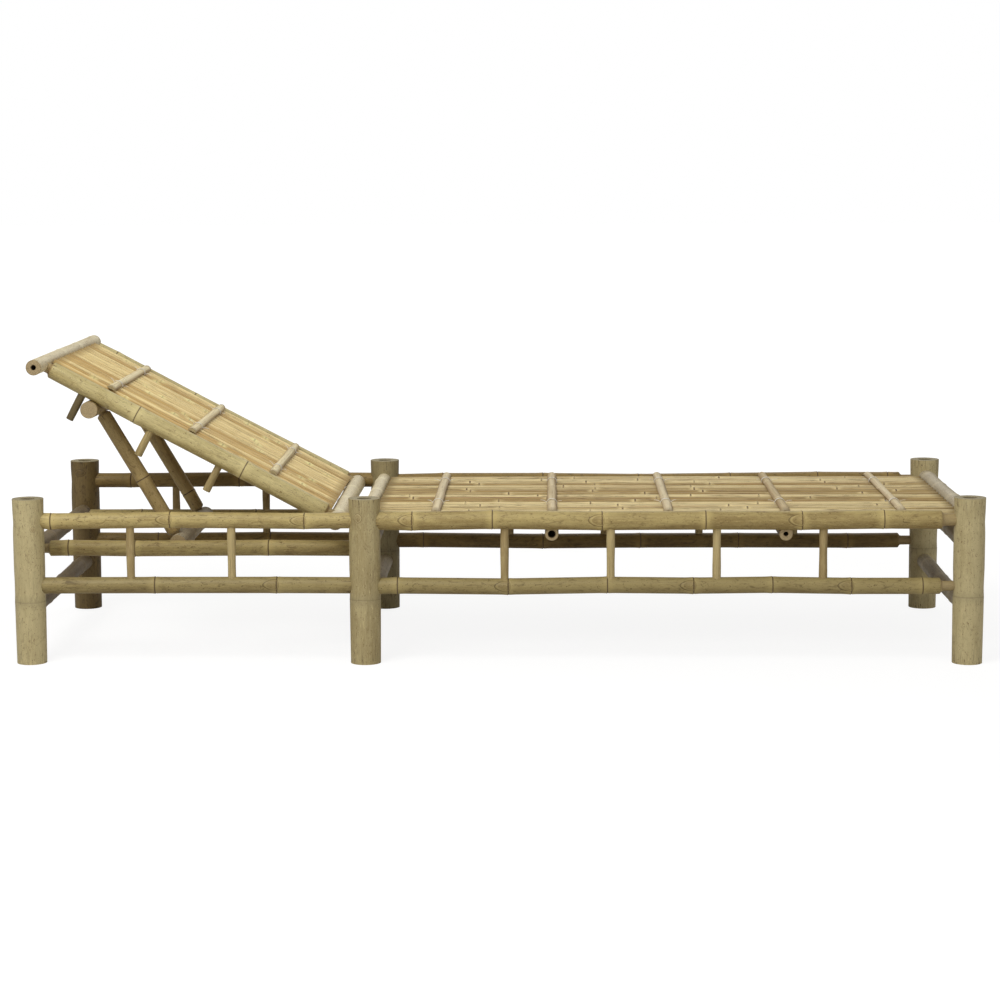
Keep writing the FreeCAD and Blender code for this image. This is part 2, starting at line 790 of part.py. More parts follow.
def make_backrest_battens():
    tops = []
    unders = []
    ties = []
    girth = backrest_batten_width
    tie_y = backrest_inner_y - backrest_tie_inset
    top_z = backrest_slat_top + seat_gap
    under_z = backrest_slat_low - seat_gap - backrest_under_thickness
    for index in range(backrest_batten_count):
        along = backrest_batten_first + backrest_batten_pitch * index
        length = 2 * (backrest_rail_y - backrest_rail_radius(along) - seat_gap)
        label = f"backrest_batten_{index}"
        top = split_culm(label, girth, backrest_batten_thickness, length, 0, 0, 0, Y_AXIS)
        tops.append(lay_on_backrest(top, along, 0, top_z))
        label = f"backrest_under_batten_{index}"
        under = split_culm(label, girth, backrest_under_thickness, length, 0, 0, 0, Y_AXIS)
        unders.append(lay_on_backrest(under, along, 0, under_z))
        for sign in side_sign.values():
            label = f"backrest_tie_{len(ties)}"
            tie = make_tie(label, girth + 2 * fit_gap, backrest_batten_thickness + fit_gap, 0, 0, 0)
            ties.append(lay_on_backrest(tie, along, tie_y * sign, top_z))
    group("backrest_battens", tops)
    group("backrest_under_battens", unders)
    group("backrest_ties", ties)


make_backrest_battens()


def make_pegs(side):
    """Three pegs that stick out square below one backrest rail, one for each angle of the backrest."""
    label = f"{side}_rest_pegs"
    pegs = []
    for index, along in enumerate(peg_places):
        top = peg_seat - backrest_rail_radius(along)
        x, z = on_backrest(along, top)
        length = peg_seat + peg_reach
        y = backrest_rail_y * side_sign[side]
        pegs.append(stick(f"{label}_{index}", peg_diameter, length, x, y, z, above_backrest * -1))
    return group(label, pegs)


for side in side_sign:
    make_pegs(side)

# Prop: its top bar lies under the backrest rails, against the hinge side of the first pegs

bar_along = peg_first - peg_diameter / 2 - prop_bar_to_peg - prop_bar_diameter / 2
bar_below = backrest_rail_radius(bar_along) + seat_gap + prop_bar_diameter / 2
bar_x, bar_z = on_backrest(bar_along, -bar_below)
prop_back = prop_pivot_x - bar_x
prop_up = bar_z - prop_pivot_z
prop_length = hypotenuse(prop_back, prop_up)
along_prop = FreeCAD.Vector(-prop_back.value, 0, prop_up.value).normalize()
up_prop_from_bar = FreeCAD.Vector(along_prop.x, -along_prop.z, 0)


def make_prop_bar(label, girth, length, x, z, toward_leg):
    bar = culm(label, length, girth, internode=cross_internode)
    for sign in side_sign.values():
        along = length / 2 + prop_leg_y * sign
        tenon = tenon_radius(prop_leg_diameter)
        socket(bar, tenon, joint_depth, girth / 2, toward_leg, along, stick_sides)
    place(bar, x, -length / 2, z, Y_AXIS)
    return bar


prop_bar_length = 2 * (backrest_rail_y + prop_bar_overhang)
foot_bar_length = 2 * (prop_rail_y - prop_rail_diameter / 2 - hinge_side_gap)
make_prop_bar("prop_top_bar", prop_bar_diameter, prop_bar_length, bar_x, bar_z, up_prop_from_bar * -1)
foot_bar = make_prop_bar(
    "prop_foot_bar", foot_bar_diameter, foot_bar_length, prop_pivot_x, prop_pivot_z, up_prop_from_bar
)
pin_bores(foot_bar, prop_pin_diameter, prop_pin_reach, foot_bar_length)


def make_prop_leg(side):
    run = prop_length - foot_bar_diameter / 2 - prop_bar_diameter / 2
    end = whittled(joint_depth)
    leg = culm(f"{side}_prop_leg", run, prop_leg_diameter, end, end, head_internode)
    share = foot_bar_diameter / 2 / prop_length
    x = prop_pivot_x - prop_back * share
    z = prop_pivot_z + prop_up * share
    place(leg, x, prop_leg_y * side_sign[side], z)
    leg.Placement.Rotation = FreeCAD.Rotation(Y_AXIS.cross(along_prop), Y_AXIS, along_prop, "ZYX")


for side in side_sign:
    make_prop_leg(side)

# Pins


def make_pins(label, diameter, seat, reach, face_y, x, z):
    """A pair of pins, each seated in a rail and reaching inward into the end of a turning bar."""
    pins = []
    for side, sign in side_sign.items():
        length = seat + hinge_side_gap + reach
        inner = (face_y - hinge_side_gap - reach) * sign
        start = inner if sign > 0 else inner - length
        pins.append(rod(f"{label}_{side}", diameter, length, x, start, z, Y_AXIS))
    return group(label, pins)


head_rail_inner = leg_span_y / 2 - head_rail_diameter / 2
prop_rail_inner = prop_rail_y - prop_rail_diameter / 2
pin = hinge_pin_diameter
make_pins("hinge_pins", pin, hinge_pin_seat, hinge_pin_reach, head_rail_inner, hinge_x, hinge_height)
pin = prop_pin_diameter
make_pins("prop_pins", pin, prop_pin_seat, prop_pin_reach, prop_rail_inner, prop_pivot_x, prop_pivot_z)
doc.recompute()

for thing in doc.Objects:
    if {"Invalid", "Error"} & set(thing.State):
        raise RuntimeError(f"{thing.Label} failed: {thing.State}")
for part in parts:
    if part.Shape.isNull() or not part.Shape.isValid():
        raise RuntimeError(f"{part.Label} has no valid shape")

os.makedirs("parts", exist_ok=True)
for part in parts:
    part.Shape.exportStep(f"parts/{part.Label}.step")
print(len(parts), "pieces,", sum(len(part.Shape.Solids) for part in parts), "solids")
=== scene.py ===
# %% [markdown]
# # A folding sun lounger of bamboo
# The lounger is built from culms, the round hollow stems of bamboo: six thick legs, side rails with thin
# spindles between them, cross rails, a slatted seat and a backrest that leans on a prop. This file dresses
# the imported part: it loads the solids as a frame and builds a finer mesh and a finish for each of them.

# %% Load the frame
import json
import math
import bpy
import numpy as np
from mathutils import Matrix, Vector


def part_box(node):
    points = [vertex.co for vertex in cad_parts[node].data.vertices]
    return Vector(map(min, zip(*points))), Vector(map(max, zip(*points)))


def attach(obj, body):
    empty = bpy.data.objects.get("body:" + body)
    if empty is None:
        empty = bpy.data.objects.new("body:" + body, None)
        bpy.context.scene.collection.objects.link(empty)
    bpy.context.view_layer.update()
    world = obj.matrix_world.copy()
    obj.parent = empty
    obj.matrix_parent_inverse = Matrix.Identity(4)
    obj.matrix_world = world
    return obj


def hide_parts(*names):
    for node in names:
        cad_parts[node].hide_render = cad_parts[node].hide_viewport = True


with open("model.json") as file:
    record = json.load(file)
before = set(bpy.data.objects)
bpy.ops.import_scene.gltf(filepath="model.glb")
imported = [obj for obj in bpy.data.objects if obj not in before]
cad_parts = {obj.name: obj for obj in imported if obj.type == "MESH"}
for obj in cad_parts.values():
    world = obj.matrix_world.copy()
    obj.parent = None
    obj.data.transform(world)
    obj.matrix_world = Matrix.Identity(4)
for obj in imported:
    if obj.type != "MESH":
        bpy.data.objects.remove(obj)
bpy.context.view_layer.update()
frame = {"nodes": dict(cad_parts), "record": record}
MM = 0.001
print("pieces in the frame:", len(frame["nodes"]))

# %% [markdown]
# ## The camera
# The picture shows the lounger from its long side, from about five and a half metres away and a little above
# it. A long lens at that distance keeps the near and far legs almost the same height. The camera's turn is
# built from its pitch, yaw and roll, so that each of the three can be read and changed on its own.

# %% Camera
SENSOR = 36.0
camera_data = bpy.data.cameras.new("camera")
camera_data.sensor_width = SENSOR
camera_data.lens = SENSOR * 2.566
camera_data.clip_end = 100
camera = bpy.data.objects.new("camera", camera_data)
bpy.context.scene.collection.objects.link(camera)
bpy.context.scene.camera = camera
yaw, pitch, roll = (math.radians(angle) for angle in (-1.22, 7.81, -0.24))
ahead = Vector((math.sin(yaw), math.cos(yaw), 0))
right = Vector((math.cos(yaw), -math.sin(yaw), 0))
look = ahead * math.cos(pitch) - Vector((0, 0, 1)) * math.sin(pitch)
up = Vector((0, 0, 1)) * math.cos(pitch) + ahead * math.sin(pitch)
rolled_right = right * math.cos(roll) + up * math.sin(roll)
rolled_up = up * math.cos(roll) - right * math.sin(roll)
turn = Matrix((rolled_right, rolled_up, -look)).transposed().to_4x4()
camera.matrix_world = Matrix.Translation((0.117, -5.539, 1.054)) @ turn
print("camera lens:", round(camera_data.lens, 1), "mm")

# %% [markdown]
# ## Light
# The lounger was lit softly from above and in front, so its culms are bright along their upper sides and fade
# to a warm shade below. One wide lamp gives that direction, a second one fills the shade, and the pale sky
# keeps the dark side readable.

# %% Lamps and sky
def soft_lamp(name, place, size, power, aim=(0, 0, 0.25)):
    """A square lamp that looks at a point."""
    data = bpy.data.lights.new(name, "AREA")
    data.size = size
    data.energy = power
    lamp = bpy.data.objects.new(name, data)
    bpy.context.scene.collection.objects.link(lamp)
    lamp.location = place
    lamp.rotation_euler = (Vector(aim) - Vector(place)).to_track_quat("-Z", "Y").to_euler()
    return lamp


soft_lamp("key_lamp", (-1.6, -2.6, 3.6), 2.2, 125)
soft_lamp("fill_lamp", (2.6, -3.4, 1.6), 2.5, 22)
soft_lamp("back_lamp", (0.6, 3.2, 2.6), 2.0, 26)
world = bpy.data.worlds.new("sky")
bpy.context.scene.world = world
world.use_nodes = True
world.node_tree.nodes.clear()
bpy.context.scene.view_settings.view_transform = "Standard"
print("lamps: key, fill and back")

# %% [markdown]
# ## Shader maths in plain Python
# A finish is a graph of nodes. Writing the graph as Python expressions keeps it short: a Wire wraps one
# socket, and adding or multiplying wires adds the Math nodes. Every other node comes from one method, which
# takes the node's kind, its settings and what its sockets receive.

# %% Wire and Finish
class Wire:
    """One output socket, which can be used in arithmetic."""

    def __init__(self, finish, socket):
        self.finish = finish
        self.socket = socket

    def math(self, operation, *values):
        return self.finish.node("ShaderNodeMath", {"operation": operation}, dict(enumerate(values)))

    def __add__(self, other):
        return self.math("ADD", self, other)

    __radd__ = __add__

    def __sub__(self, other):
        return self.math("SUBTRACT", self, other)

    def __rsub__(self, other):
        return self.math("SUBTRACT", other, self)

    def __mul__(self, other):
        return self.math("MULTIPLY", self, other)

    __rmul__ = __mul__

    def __abs__(self):
        return self.math("ABSOLUTE", self)

    def smooth(self, low, high):
        """0 below low, 1 above high and an even ramp between them."""
        settings = {"interpolation_type": "SMOOTHSTEP"}
        return self.finish.node("ShaderNodeMapRange", settings, {"Value": self, "From Min": low, "From Max": high})


class Finish:
    """A material whose nodes are added one expression at a time."""

    def __init__(self, name):
        self.material = bpy.data.materials.new(name)
        self.material.use_nodes = True
        self.tree = self.material.node_tree
        self.tree.nodes.clear()

    def node(self, kind, settings=None, sockets=None, out=0):
        made = self.tree.nodes.new(kind)
        for key, value in (settings or {}).items():
            setattr(made, key, value)
        for key, value in (sockets or {}).items():
            target = made.inputs[key] if isinstance(key, int) else self.open_socket(made, key)
            if isinstance(value, Wire):
                self.tree.links.new(value.socket, target)
            else:
                target.default_value = value
        outputs = [socket for socket in made.outputs if socket.enabled]
        if not outputs:
            return made
        return Wire(self, outputs[out] if isinstance(out, int) else made.outputs[out])

    def open_socket(self, made, name):
        return next(socket for socket in made.inputs if socket.name == name and socket.enabled)

    def attribute(self, name, out="Fac"):
        return self.node("ShaderNodeAttribute", {"attribute_name": name}, out=out)

    def stretch(self, vector, scale):
        return self.node("ShaderNodeVectorMath", {"operation": "MULTIPLY"}, {0: vector, 1: scale})

    def noise(self, vector, scale, detail=3.0, roughness=0.55, warp=0.0):
        """Cloudy noise over a stretched coordinate."""
        sockets = {
            "Vector": self.stretch(vector, scale), "Scale": 1.0, "Detail": detail, "Roughness": roughness,
            "Distortion": warp,
        }
        return self.node("ShaderNodeTexNoise", {}, sockets)

    def mix(self, share, first, second, mode="MIX"):
        """Blend two colours, each a wire or an RGB triple."""
        pair = [value if isinstance(value, Wire) else (*value, 1) for value in (first, second)]
        settings = {"data_type": "RGBA", "blend_type": mode}
        return self.node("ShaderNodeMix", settings, {"Factor": share, "A": pair[0], "B": pair[1]})

    def surface(self, colour, roughness, height, bump, sheen=0.35):
        """The shader itself: a dull, slightly waxy surface with a bump in millimetres."""
        normal = self.node("ShaderNodeBump", {}, {"Height": height, "Distance": bump * MM, "Strength": 1.0})
        sockets = {"Base Color": colour, "Roughness": roughness, "Normal": normal, "Specular IOR Level": sheen}
        shader = self.node("ShaderNodeBsdfPrincipled", {}, sockets)
        self.node("ShaderNodeOutputMaterial", {}, {"Surface": shader})
        return self.material


print("finish tools ready")

# %% [markdown]
# ## The floor
# The lounger stands on a plain pale floor that runs out of sight. Only the soft shadow shows on it, so for
# camera rays the lit floor is mixed with plain white light. Further out, where no shadow falls, the white
# takes over and the floor has no visible end.

# %% Floor and white backdrop
def white_to_camera(finish, shader, share):
    """Show plain white to the camera, with a share of the lit surface to keep the shadow."""
    path = finish.node("ShaderNodeLightPath", {}, {}, out="Is Camera Ray")
    glow = finish.node("ShaderNodeEmission", {}, {"Color": (1, 1, 1, 1), "Strength": 1.1})
    return finish.node("ShaderNodeMixShader", {}, {0: path * share, 1: shader, 2: glow})


floor_finish = Finish("floor_paint")
floor_shader = floor_finish.node("ShaderNodeBsdfDiffuse", {}, {"Color": (0.86, 0.85, 0.83, 1)})
floor_place = floor_finish.node("ShaderNodeNewGeometry", {}, {}, out="Position")
from_middle = floor_finish.node("ShaderNodeVectorMath", {"operation": "LENGTH"}, {0: floor_place}, out="Value")
floor_out = white_to_camera(floor_finish, floor_shader, 0.8 + 0.2 * from_middle.smooth(1.3, 2.6))
floor_finish.node("ShaderNodeOutputMaterial", {}, {"Surface": floor_out})
FLOOR_REACH = 30.0
floor_mesh = bpy.data.meshes.new("floor")
corners = [(x * FLOOR_REACH, y * FLOOR_REACH, 0) for x, y in ((-1, -1), (1, -1), (1, 1), (-1, 1))]
floor_mesh.from_pydata(corners, [], [(0, 1, 2, 3)])
floor_mesh.materials.append(floor_finish.material)
floor = bpy.data.objects.new("floor", floor_mesh)
bpy.context.scene.collection.objects.link(floor)

sky = world.node_tree
background = sky.nodes.new("ShaderNodeBackground")
white_sky = sky.nodes.new("ShaderNodeBackground")
sky_mix = sky.nodes.new("ShaderNodeMixShader")
sky_path = sky.nodes.new("ShaderNodeLightPath")
sky_out = sky.nodes.new("ShaderNodeOutputWorld")
background.inputs["Color"].default_value = (1, 0.985, 0.96, 1)
background.inputs["Strength"].default_value = 0.30
white_sky.inputs["Color"].default_value = (1, 1, 1, 1)
sky.links.new(sky_path.outputs["Is Camera Ray"], sky_mix.inputs[0])
sky.links.new(background.outputs[0], sky_mix.inputs[1])
sky.links.new(white_sky.outputs[0], sky_mix.inputs[2])
sky.links.new(sky_mix.outputs[0], sky_out.inputs[0])
print("floor reaches", FLOOR_REACH, "m")

# %% [markdown]
# ## Bamboo skin
# A culm's skin is smooth and waxy, with long fibres, cloudy stains, dark flecks and hairline cracks. At each
# node a thin dark line runs under a pale band. The fibres have to follow each culm however it stands, so every
# mesh carries its own coordinates in an attribute called grain: the run along the culm and the place around it.
# More attributes say how far the next node's line is (node_gap), how far the sawn end is (end_gap), where a
# branch scar lies (scar), which side faces away from the light (shade: painted shade, the skin darker on that
# side, with some sun bleaching), and which faces are sawn (cut: 1 is sawn wood, 2 the inside of a hollow
# culm, painted near black as the shade in its bore).

# %% Culm finish
# Near black for flecks, cracks and node lines, and for the painted shade inside hollow culms.
INK_AND_SHADE = (0.075, 0.045, 0.022)


def scaled(colour, level):
    return tuple(min(1.0, value * level) for value in colour)


def culm_colour(finish, grain, light, dark, stain, stain_share):
    """The skin away from nodes, scars and ends, and the two noises that its bump shares."""
    tone = finish.attribute("tone")
    shade = finish.attribute("shade")
    cloud = finish.noise(grain, (9, 34, 34), 4.0, 0.6, 0.6)
    streak = finish.noise(grain, (5, 300, 300), 3.0)
    fibre = finish.noise(grain, (22, 1300, 1300), 2.0)
    blotch = finish.noise(grain, (38, 95, 95), 5.0, 0.7, 1.2)
    # shade is painted shade: the side of a culm that faces away from the light takes more of the dark skin colour.
    share = (cloud * 1.5 + streak * 0.6 + tone * 0.45 + shade * 0.7 - 1.15).smooth(0.0, 0.9)
    colour = finish.mix(share, light, dark)
    colour = finish.mix((blotch - 0.5).smooth(0.02, 0.2) * stain_share, colour, stain)
    colour = finish.mix((fibre - 0.5).smooth(0, 0.25) * 0.3, colour, stain)
    scratch = finish.noise(grain, (40, 520, 520), 2.0, 0.5, 2.0)
    colour = finish.mix((scratch - 0.60).smooth(0, 0.07) * 0.45, colour, scaled(light, 1.35))
    spot = finish.noise(grain, (150, 260, 260), 1.5, 0.5, 0.8)
    colour = finish.mix((spot - 0.66).smooth(0, 0.05) * 0.75, colour, stain)
    fleck = finish.noise(grain, (380, 640, 640), 1.0)
    colour = finish.mix((fleck - 0.69).smooth(0, 0.04) * 0.75, colour, INK_AND_SHADE)
    return colour, fibre * 0.10 + streak * 0.22 + scratch * 0.12, blotch


def culm_finish(name, light, dark, stain, stain_share=0.5, wood=(0.40, 0.30, 0.16), ring=0.85, band=1.35):
    """Skin of a whole culm. ring is the strength of a node's line, band the tone of the skin beside it."""
    finish = Finish(name)
    grain = finish.attribute("grain", "Vector")
    node_gap = finish.attribute("node_gap")
    end_gap = finish.attribute("end_gap")
    scar = finish.attribute("scar")
    cut = finish.attribute("cut")
    colour, height, blotch = culm_colour(finish, grain, light, dark, stain, stain_share)
    crack_noise = finish.noise(grain, (11, 230, 230), 1.0)
    crack = 1 - abs(crack_noise - 0.5).smooth(0.003, 0.016)
    near_end = 1 - end_gap.smooth(0.004, 0.038)
    crack = crack * (near_end + (blotch - 0.46).smooth(0, 0.14) * 0.7)
    colour = finish.mix(crack * 0.7, colour, INK_AND_SHADE)
    near_node = 1 - node_gap.smooth(0.002, 0.02)
    colour = finish.mix(near_node * (0.15 + 0.5 * blotch), colour, scaled(light, band))
    line = 1 - node_gap.smooth(0.0006, 0.0019)
    colour = finish.mix(line * ring, colour, INK_AND_SHADE)
    swirl = finish.noise(grain, (190, 330, 330), 3.0, 0.6, 3.5)
    inside = 1 - scar.smooth(0.86, 1.0)
    colour = finish.mix(inside * (0.1 + 0.5 * (swirl - 0.35).smooth(0, 0.3)), colour, scaled(stain, 1.4))
    colour = finish.mix((1 - abs(scar - 0.82).smooth(0.04, 0.12)) * 0.45, colour, scaled(light, 1.2))
    outline = 1 - abs(scar - 1.0).smooth(0.02, 0.08)
    colour = finish.mix(outline * 0.7, colour, scaled(stain, 0.8))
    colour = finish.mix((1 - scar.smooth(0.04, 0.16)) * 0.7, colour, INK_AND_SHADE)
    pore = finish.noise(grain, (800, 800, 800), 2.0, 0.6)
    wood_colour = finish.mix((pore - 0.42).smooth(0, 0.22) * 0.6, wood, scaled(wood, 0.45))
    colour = finish.mix(cut, colour, wood_colour)
    # Painted shade: the inside of a hollow culm (cut 2) is painted near black, as the shade deep in its bore.
    colour = finish.mix((cut - 1).smooth(0, 1) * 0.85, colour, INK_AND_SHADE)
    height = height + (1 - line) * 0.5 + cut * pore * 0.6 - crack * 0.2
    return finish.surface(colour, 0.46 + 0.16 * blotch + 0.2 * cut, height, 0.55)


LEG_SKIN = ((0.49, 0.41, 0.215), (0.33, 0.26, 0.12), (0.20, 0.14, 0.06))
# DARK_LEG_SKIN, FAR_RAIL_SKIN and DARK_CROSS_SKIN are darker skins for culms on the far side and under the seat and
# backrest: partly their own colour, partly painted shade.
DARK_LEG_SKIN = ((0.17, 0.115, 0.04), (0.10, 0.068, 0.02), (0.05, 0.03, 0.01))
RAIL_SKIN = ((0.48, 0.375, 0.15), (0.27, 0.19, 0.065), (0.14, 0.088, 0.028))
FAR_RAIL_SKIN = ((0.28, 0.19, 0.06), (0.15, 0.095, 0.026), (0.08, 0.05, 0.015))
CROSS_SKIN = ((0.50, 0.43, 0.29), (0.33, 0.265, 0.16), (0.24, 0.17, 0.095))
DARK_CROSS_SKIN = ((0.22, 0.165, 0.09), (0.14, 0.10, 0.05), (0.07, 0.045, 0.02))
PALE_SKIN = ((0.78, 0.68, 0.45), (0.62, 0.51, 0.30), (0.38, 0.27, 0.12))
PROP_SKIN = ((0.38, 0.275, 0.11), (0.25, 0.165, 0.055), (0.13, 0.08, 0.03))
BACKREST_SKIN = ((0.56, 0.47, 0.22), (0.31, 0.23, 0.08), (0.20, 0.13, 0.045))
LEG_NODE_LOOK = {"ring": 0.2, "band": 0.62, "wood": (0.42, 0.36, 0.22)}
# Each look holds its skin, how far painted shade dims it, its share of stains and what else differs. The
# far leg and low rail looks are the leg and rail skins dimmed by painted shade.
culm_looks = {
    "leg_culm": (LEG_SKIN, 1.0, 0.4, LEG_NODE_LOOK),
    "far_leg_culm": (LEG_SKIN, 0.66, 0.5, LEG_NODE_LOOK),
    "dark_leg_culm": (DARK_LEG_SKIN, 1.0, 0.8, LEG_NODE_LOOK),
    "rail_culm": (RAIL_SKIN, 1.0, 0.6, {}),
    "low_rail_culm": (RAIL_SKIN, 0.66, 0.6, {}),
    "far_rail_culm": (FAR_RAIL_SKIN, 1.0, 0.6, {}),
    "cross_culm": (CROSS_SKIN, 1.0, 0.4, {}),
    "dark_cross_culm": (DARK_CROSS_SKIN, 1.0, 0.6, {}),
    "pale_culm": (PALE_SKIN, 1.0, 0.3, {}),
    "prop_culm": (PROP_SKIN, 1.0, 0.6, {}),
    "backrest_culm": (BACKREST_SKIN, 1.0, 0.45, {"wood": (0.26, 0.155, 0.065)}),
}
finishes = {}
for name, (skin, level, stains, special) in culm_looks.items():
    finishes[name] = culm_finish(name, *(scaled(colour, level) for colour in skin), stains, **special)
print("culm finishes:", len(finishes))

# %% [markdown]
# ## Split bamboo, sticks and cane
# Slats and battens are culms split lengthwise. Their skin shows long dark cracks and reddish lines where the
# wall has opened, and short brown nodes. The ties are thin strips peeled from the outside of a cane, nearly
# white and dull.

# %% Split and cane finishes
RED_STREAK = (0.38, 0.14, 0.05)

def split_finish(name, light, dark, crack, crack_share, red_share=0.35, ring=1.0):
    """Skin of a split strip: light and dark alternate along the fibres, and cracks run with them."""
    finish = Finish(name)
    grain = finish.attribute("grain", "Vector")
    tone = finish.attribute("tone")
    node_gap = finish.attribute("node_gap")
    edge = finish.attribute("edge")
    cut = finish.attribute("cut")
    wide = finish.noise(grain, (3.2, 130, 130), 3.0)
    fibre = finish.noise(grain, (7, 900, 900), 3.0, 0.6)
    split = finish.noise(grain, (4.5, 330, 330), 2.0, 0.5, 0.3)
    blotch = finish.noise(grain, (26, 90, 90), 5.0, 0.65, 1.0)
    share = (wide * 1.6 + fibre * 0.8 + tone * 1.2 - 1.45).smooth(0.0, 0.8)
    colour = finish.mix(share, light, dark)
    colour = finish.mix((blotch - 0.55).smooth(0, 0.15) * 0.45, colour, dark)
    red_line = (finish.noise(grain, (2.4, 210, 210), 2.0) - 0.6).smooth(0, 0.07)
    colour = finish.mix(red_line * red_share, colour, RED_STREAK)
    line = 1 - abs(split - 0.5).smooth(0.004, 0.028)
    colour = finish.mix(line * crack_share * blotch.smooth(0.3, 0.6), colour, crack)
    # Painted shade: each strip darkens towards its edges, as the shade in the joints between strips.
    colour = finish.mix(edge * (0.6 + 0.5 * fibre), colour, crack)
    node_line = 1 - node_gap.smooth(0.0008, 0.0026)
    around = 1 - node_gap.smooth(0.002, 0.016)
    pale = tuple(min(1.0, value * 1.3) for value in light)
    colour = finish.mix(around * 0.6 * blotch.smooth(0.35, 0.6), colour, pale)
    colour = finish.mix(node_line * ring * (blotch - 0.35).smooth(0, 0.25), colour, crack)
    colour = finish.mix(cut, colour, tuple(value * 0.6 for value in dark))
    height = fibre * 0.25 + wide * 0.3 + (1 - line) * 0.5 + (1 - node_line) * 0.3
    return finish.surface(colour, 0.5 + 0.16 * blotch + 0.1 * line, height, 0.7, 0.3)


def stick_finish(name, light, dark):
    """Whittled stick: dull skin with long grey-brown fibres."""
    finish = Finish(name)
    grain = finish.attribute("grain", "Vector")
    tone = finish.attribute("tone")
    cut = finish.attribute("cut")
    fibre = finish.noise(grain, (14, 700, 700), 3.0, 0.6)
    cloud = finish.noise(grain, (24, 70, 70), 4.0, 0.6, 0.8)
    colour = finish.mix((cloud * 1.2 + tone * 0.6 - 0.45).smooth(0.1, 0.8), light, dark)
    colour = finish.mix((tone - 1).smooth(0, 1.5) * 0.85, colour, scaled(dark, 0.35))
    colour = finish.mix((fibre - 0.52).smooth(0, 0.2) * 0.55, colour, tuple(value * 0.4 for value in dark))
    pore = finish.noise(grain, (700, 900, 900), 2.0)
    colour = finish.mix(cut * 0.8, colour, finish.mix(pore, (0.42, 0.30, 0.16), (0.24, 0.16, 0.08)))
    return finish.surface(colour, 0.62 + 0.1 * cloud, fibre * 0.4 + pore * cut * 0.4, 0.4, 0.3)


def cane_finish():
    """Peeled cane: nearly white, with faint fibres along the strip."""
    finish = Finish("cane_tie")
    grain = finish.attribute("grain", "Vector")
    fibre = finish.noise(grain, (60, 1800, 1800), 3.0)
    cloud = finish.noise(grain, (90, 90, 90), 3.0)
    colour = finish.mix((fibre * 0.6 + cloud * 0.5 - 0.2).smooth(0.1, 0.8), (0.92, 0.88, 0.78), (0.70, 0.63, 0.50))
    return finish.surface(colour, 0.62 + 0.1 * cloud, fibre, 0.2, 0.3)


# Each look holds its light, dark and crack colours, its share of cracks and what else differs.
split_looks = {
    "seat_slat": ((0.78, 0.63, 0.32), (0.42, 0.285, 0.10), (0.11, 0.05, 0.018), 0.8, {}),
    "backrest_slat": ((0.92, 0.73, 0.34), (0.62, 0.41, 0.14), (0.17, 0.08, 0.027), 0.7,
                      {"red_share": 0.2, "ring": 0.4}),
    "batten": ((0.80, 0.67, 0.42), (0.60, 0.46, 0.24), (0.30, 0.18, 0.08), 0.35, {"red_share": 0.1}),
    "back_batten": ((0.95, 0.82, 0.50), (0.76, 0.60, 0.31), (0.36, 0.22, 0.10), 0.35, {"red_share": 0.1}),
}
for name, (*tones, crack_share, special) in split_looks.items():
    finishes[name] = split_finish(name, *tones, crack_share, **special)
stick_looks = {
    "spindle_wood": ((0.46, 0.36, 0.17), (0.32, 0.23, 0.10)),
    "peg_wood": ((0.42, 0.32, 0.14), (0.27, 0.20, 0.085)),
    "pin_wood": ((0.55, 0.42, 0.22), (0.42, 0.30, 0.14)),
}
for name, tones in stick_looks.items():
    finishes[name] = stick_finish(name, *tones)
finishes["cane_tie"] = cane_finish()
print("finishes:", len(finishes))

# %% [markdown]
# ## A mesh from rows of points
# Every culm, strip and cane here is a skin over rows of points: one row for each station along the piece. The
# helper joins neighbouring rows with quads, closes the ends, and stores the attributes that the finishes
# read. Shading is smooth except at sharp edges.

# %% Skin over rows
def even_steps(low, high, count):
    """Evenly spaced numbers from low to high."""
    return [low + (high - low) * step / count for step in range(count + 1)]


def closed_skin(rows, base=0):
    """Faces over rows of points, the first of them point number base: the skin and its two end faces."""
    count = len(rows[0])
    last = base + count * (len(rows) - 1)
    faces = []
    for first in range(base, last, count):
        for step in range(count):
            following = (step + 1) % count
            second = first + count
            faces.append((first + step, first + following, second + following, second + step))
    faces.append(tuple(base + step for step in reversed(range(count))))
    faces.append(tuple(last + step for step in range(count)))
    return faces

def finish_piece(name, body, replaced, points, faces, attributes, material, sharp=38):
    """Make the object, give it its attributes and finish, and let it ride on its body."""
    mesh = bpy.data.meshes.new(name)
    mesh.from_pydata([tuple(point) for point in points], [], faces)
    for key, values in attributes.items():
        kind = "FLOAT_VECTOR" if key == "grain" else "FLOAT"
        layer = mesh.attributes.new(key, kind, "POINT")
        flat = np.array(values, np.float32).ravel()
        layer.data.foreach_set("vector" if key == "grain" else "value", flat)
    mesh.materials.append(material)
    mesh.shade_smooth()
    mesh.set_sharp_from_angle(angle=math.radians(sharp))
    piece = bpy.data.objects.new(name, mesh)
    bpy.context.scene.collection.objects.link(piece)
    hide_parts(*replaced)
    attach(piece, body)
    return piece


node_body = {}
for body_name, members in frame["record"]["behaviour"]["bodies"].items():
    for member in members:
        node_body[member] = body_name
node_slot = {part["node"]: part["material_slot"] for part in frame["record"]["subparts"]}
print("bodies:", sorted(set(node_body.values())))

# %% [markdown]
# ## A whole culm
# A culm isn't a plain tube. It swells a little at each node, where a sharp scar line and a shallow groove run
# round it, and each internode leaves its node at a slightly different angle, so a rail is never quite
# straight. Where a branch was cut away, an oval scar sits on the node. The ends are sawn, and either hollow,
# whittled down to a tenon, or let into another culm at full girth.

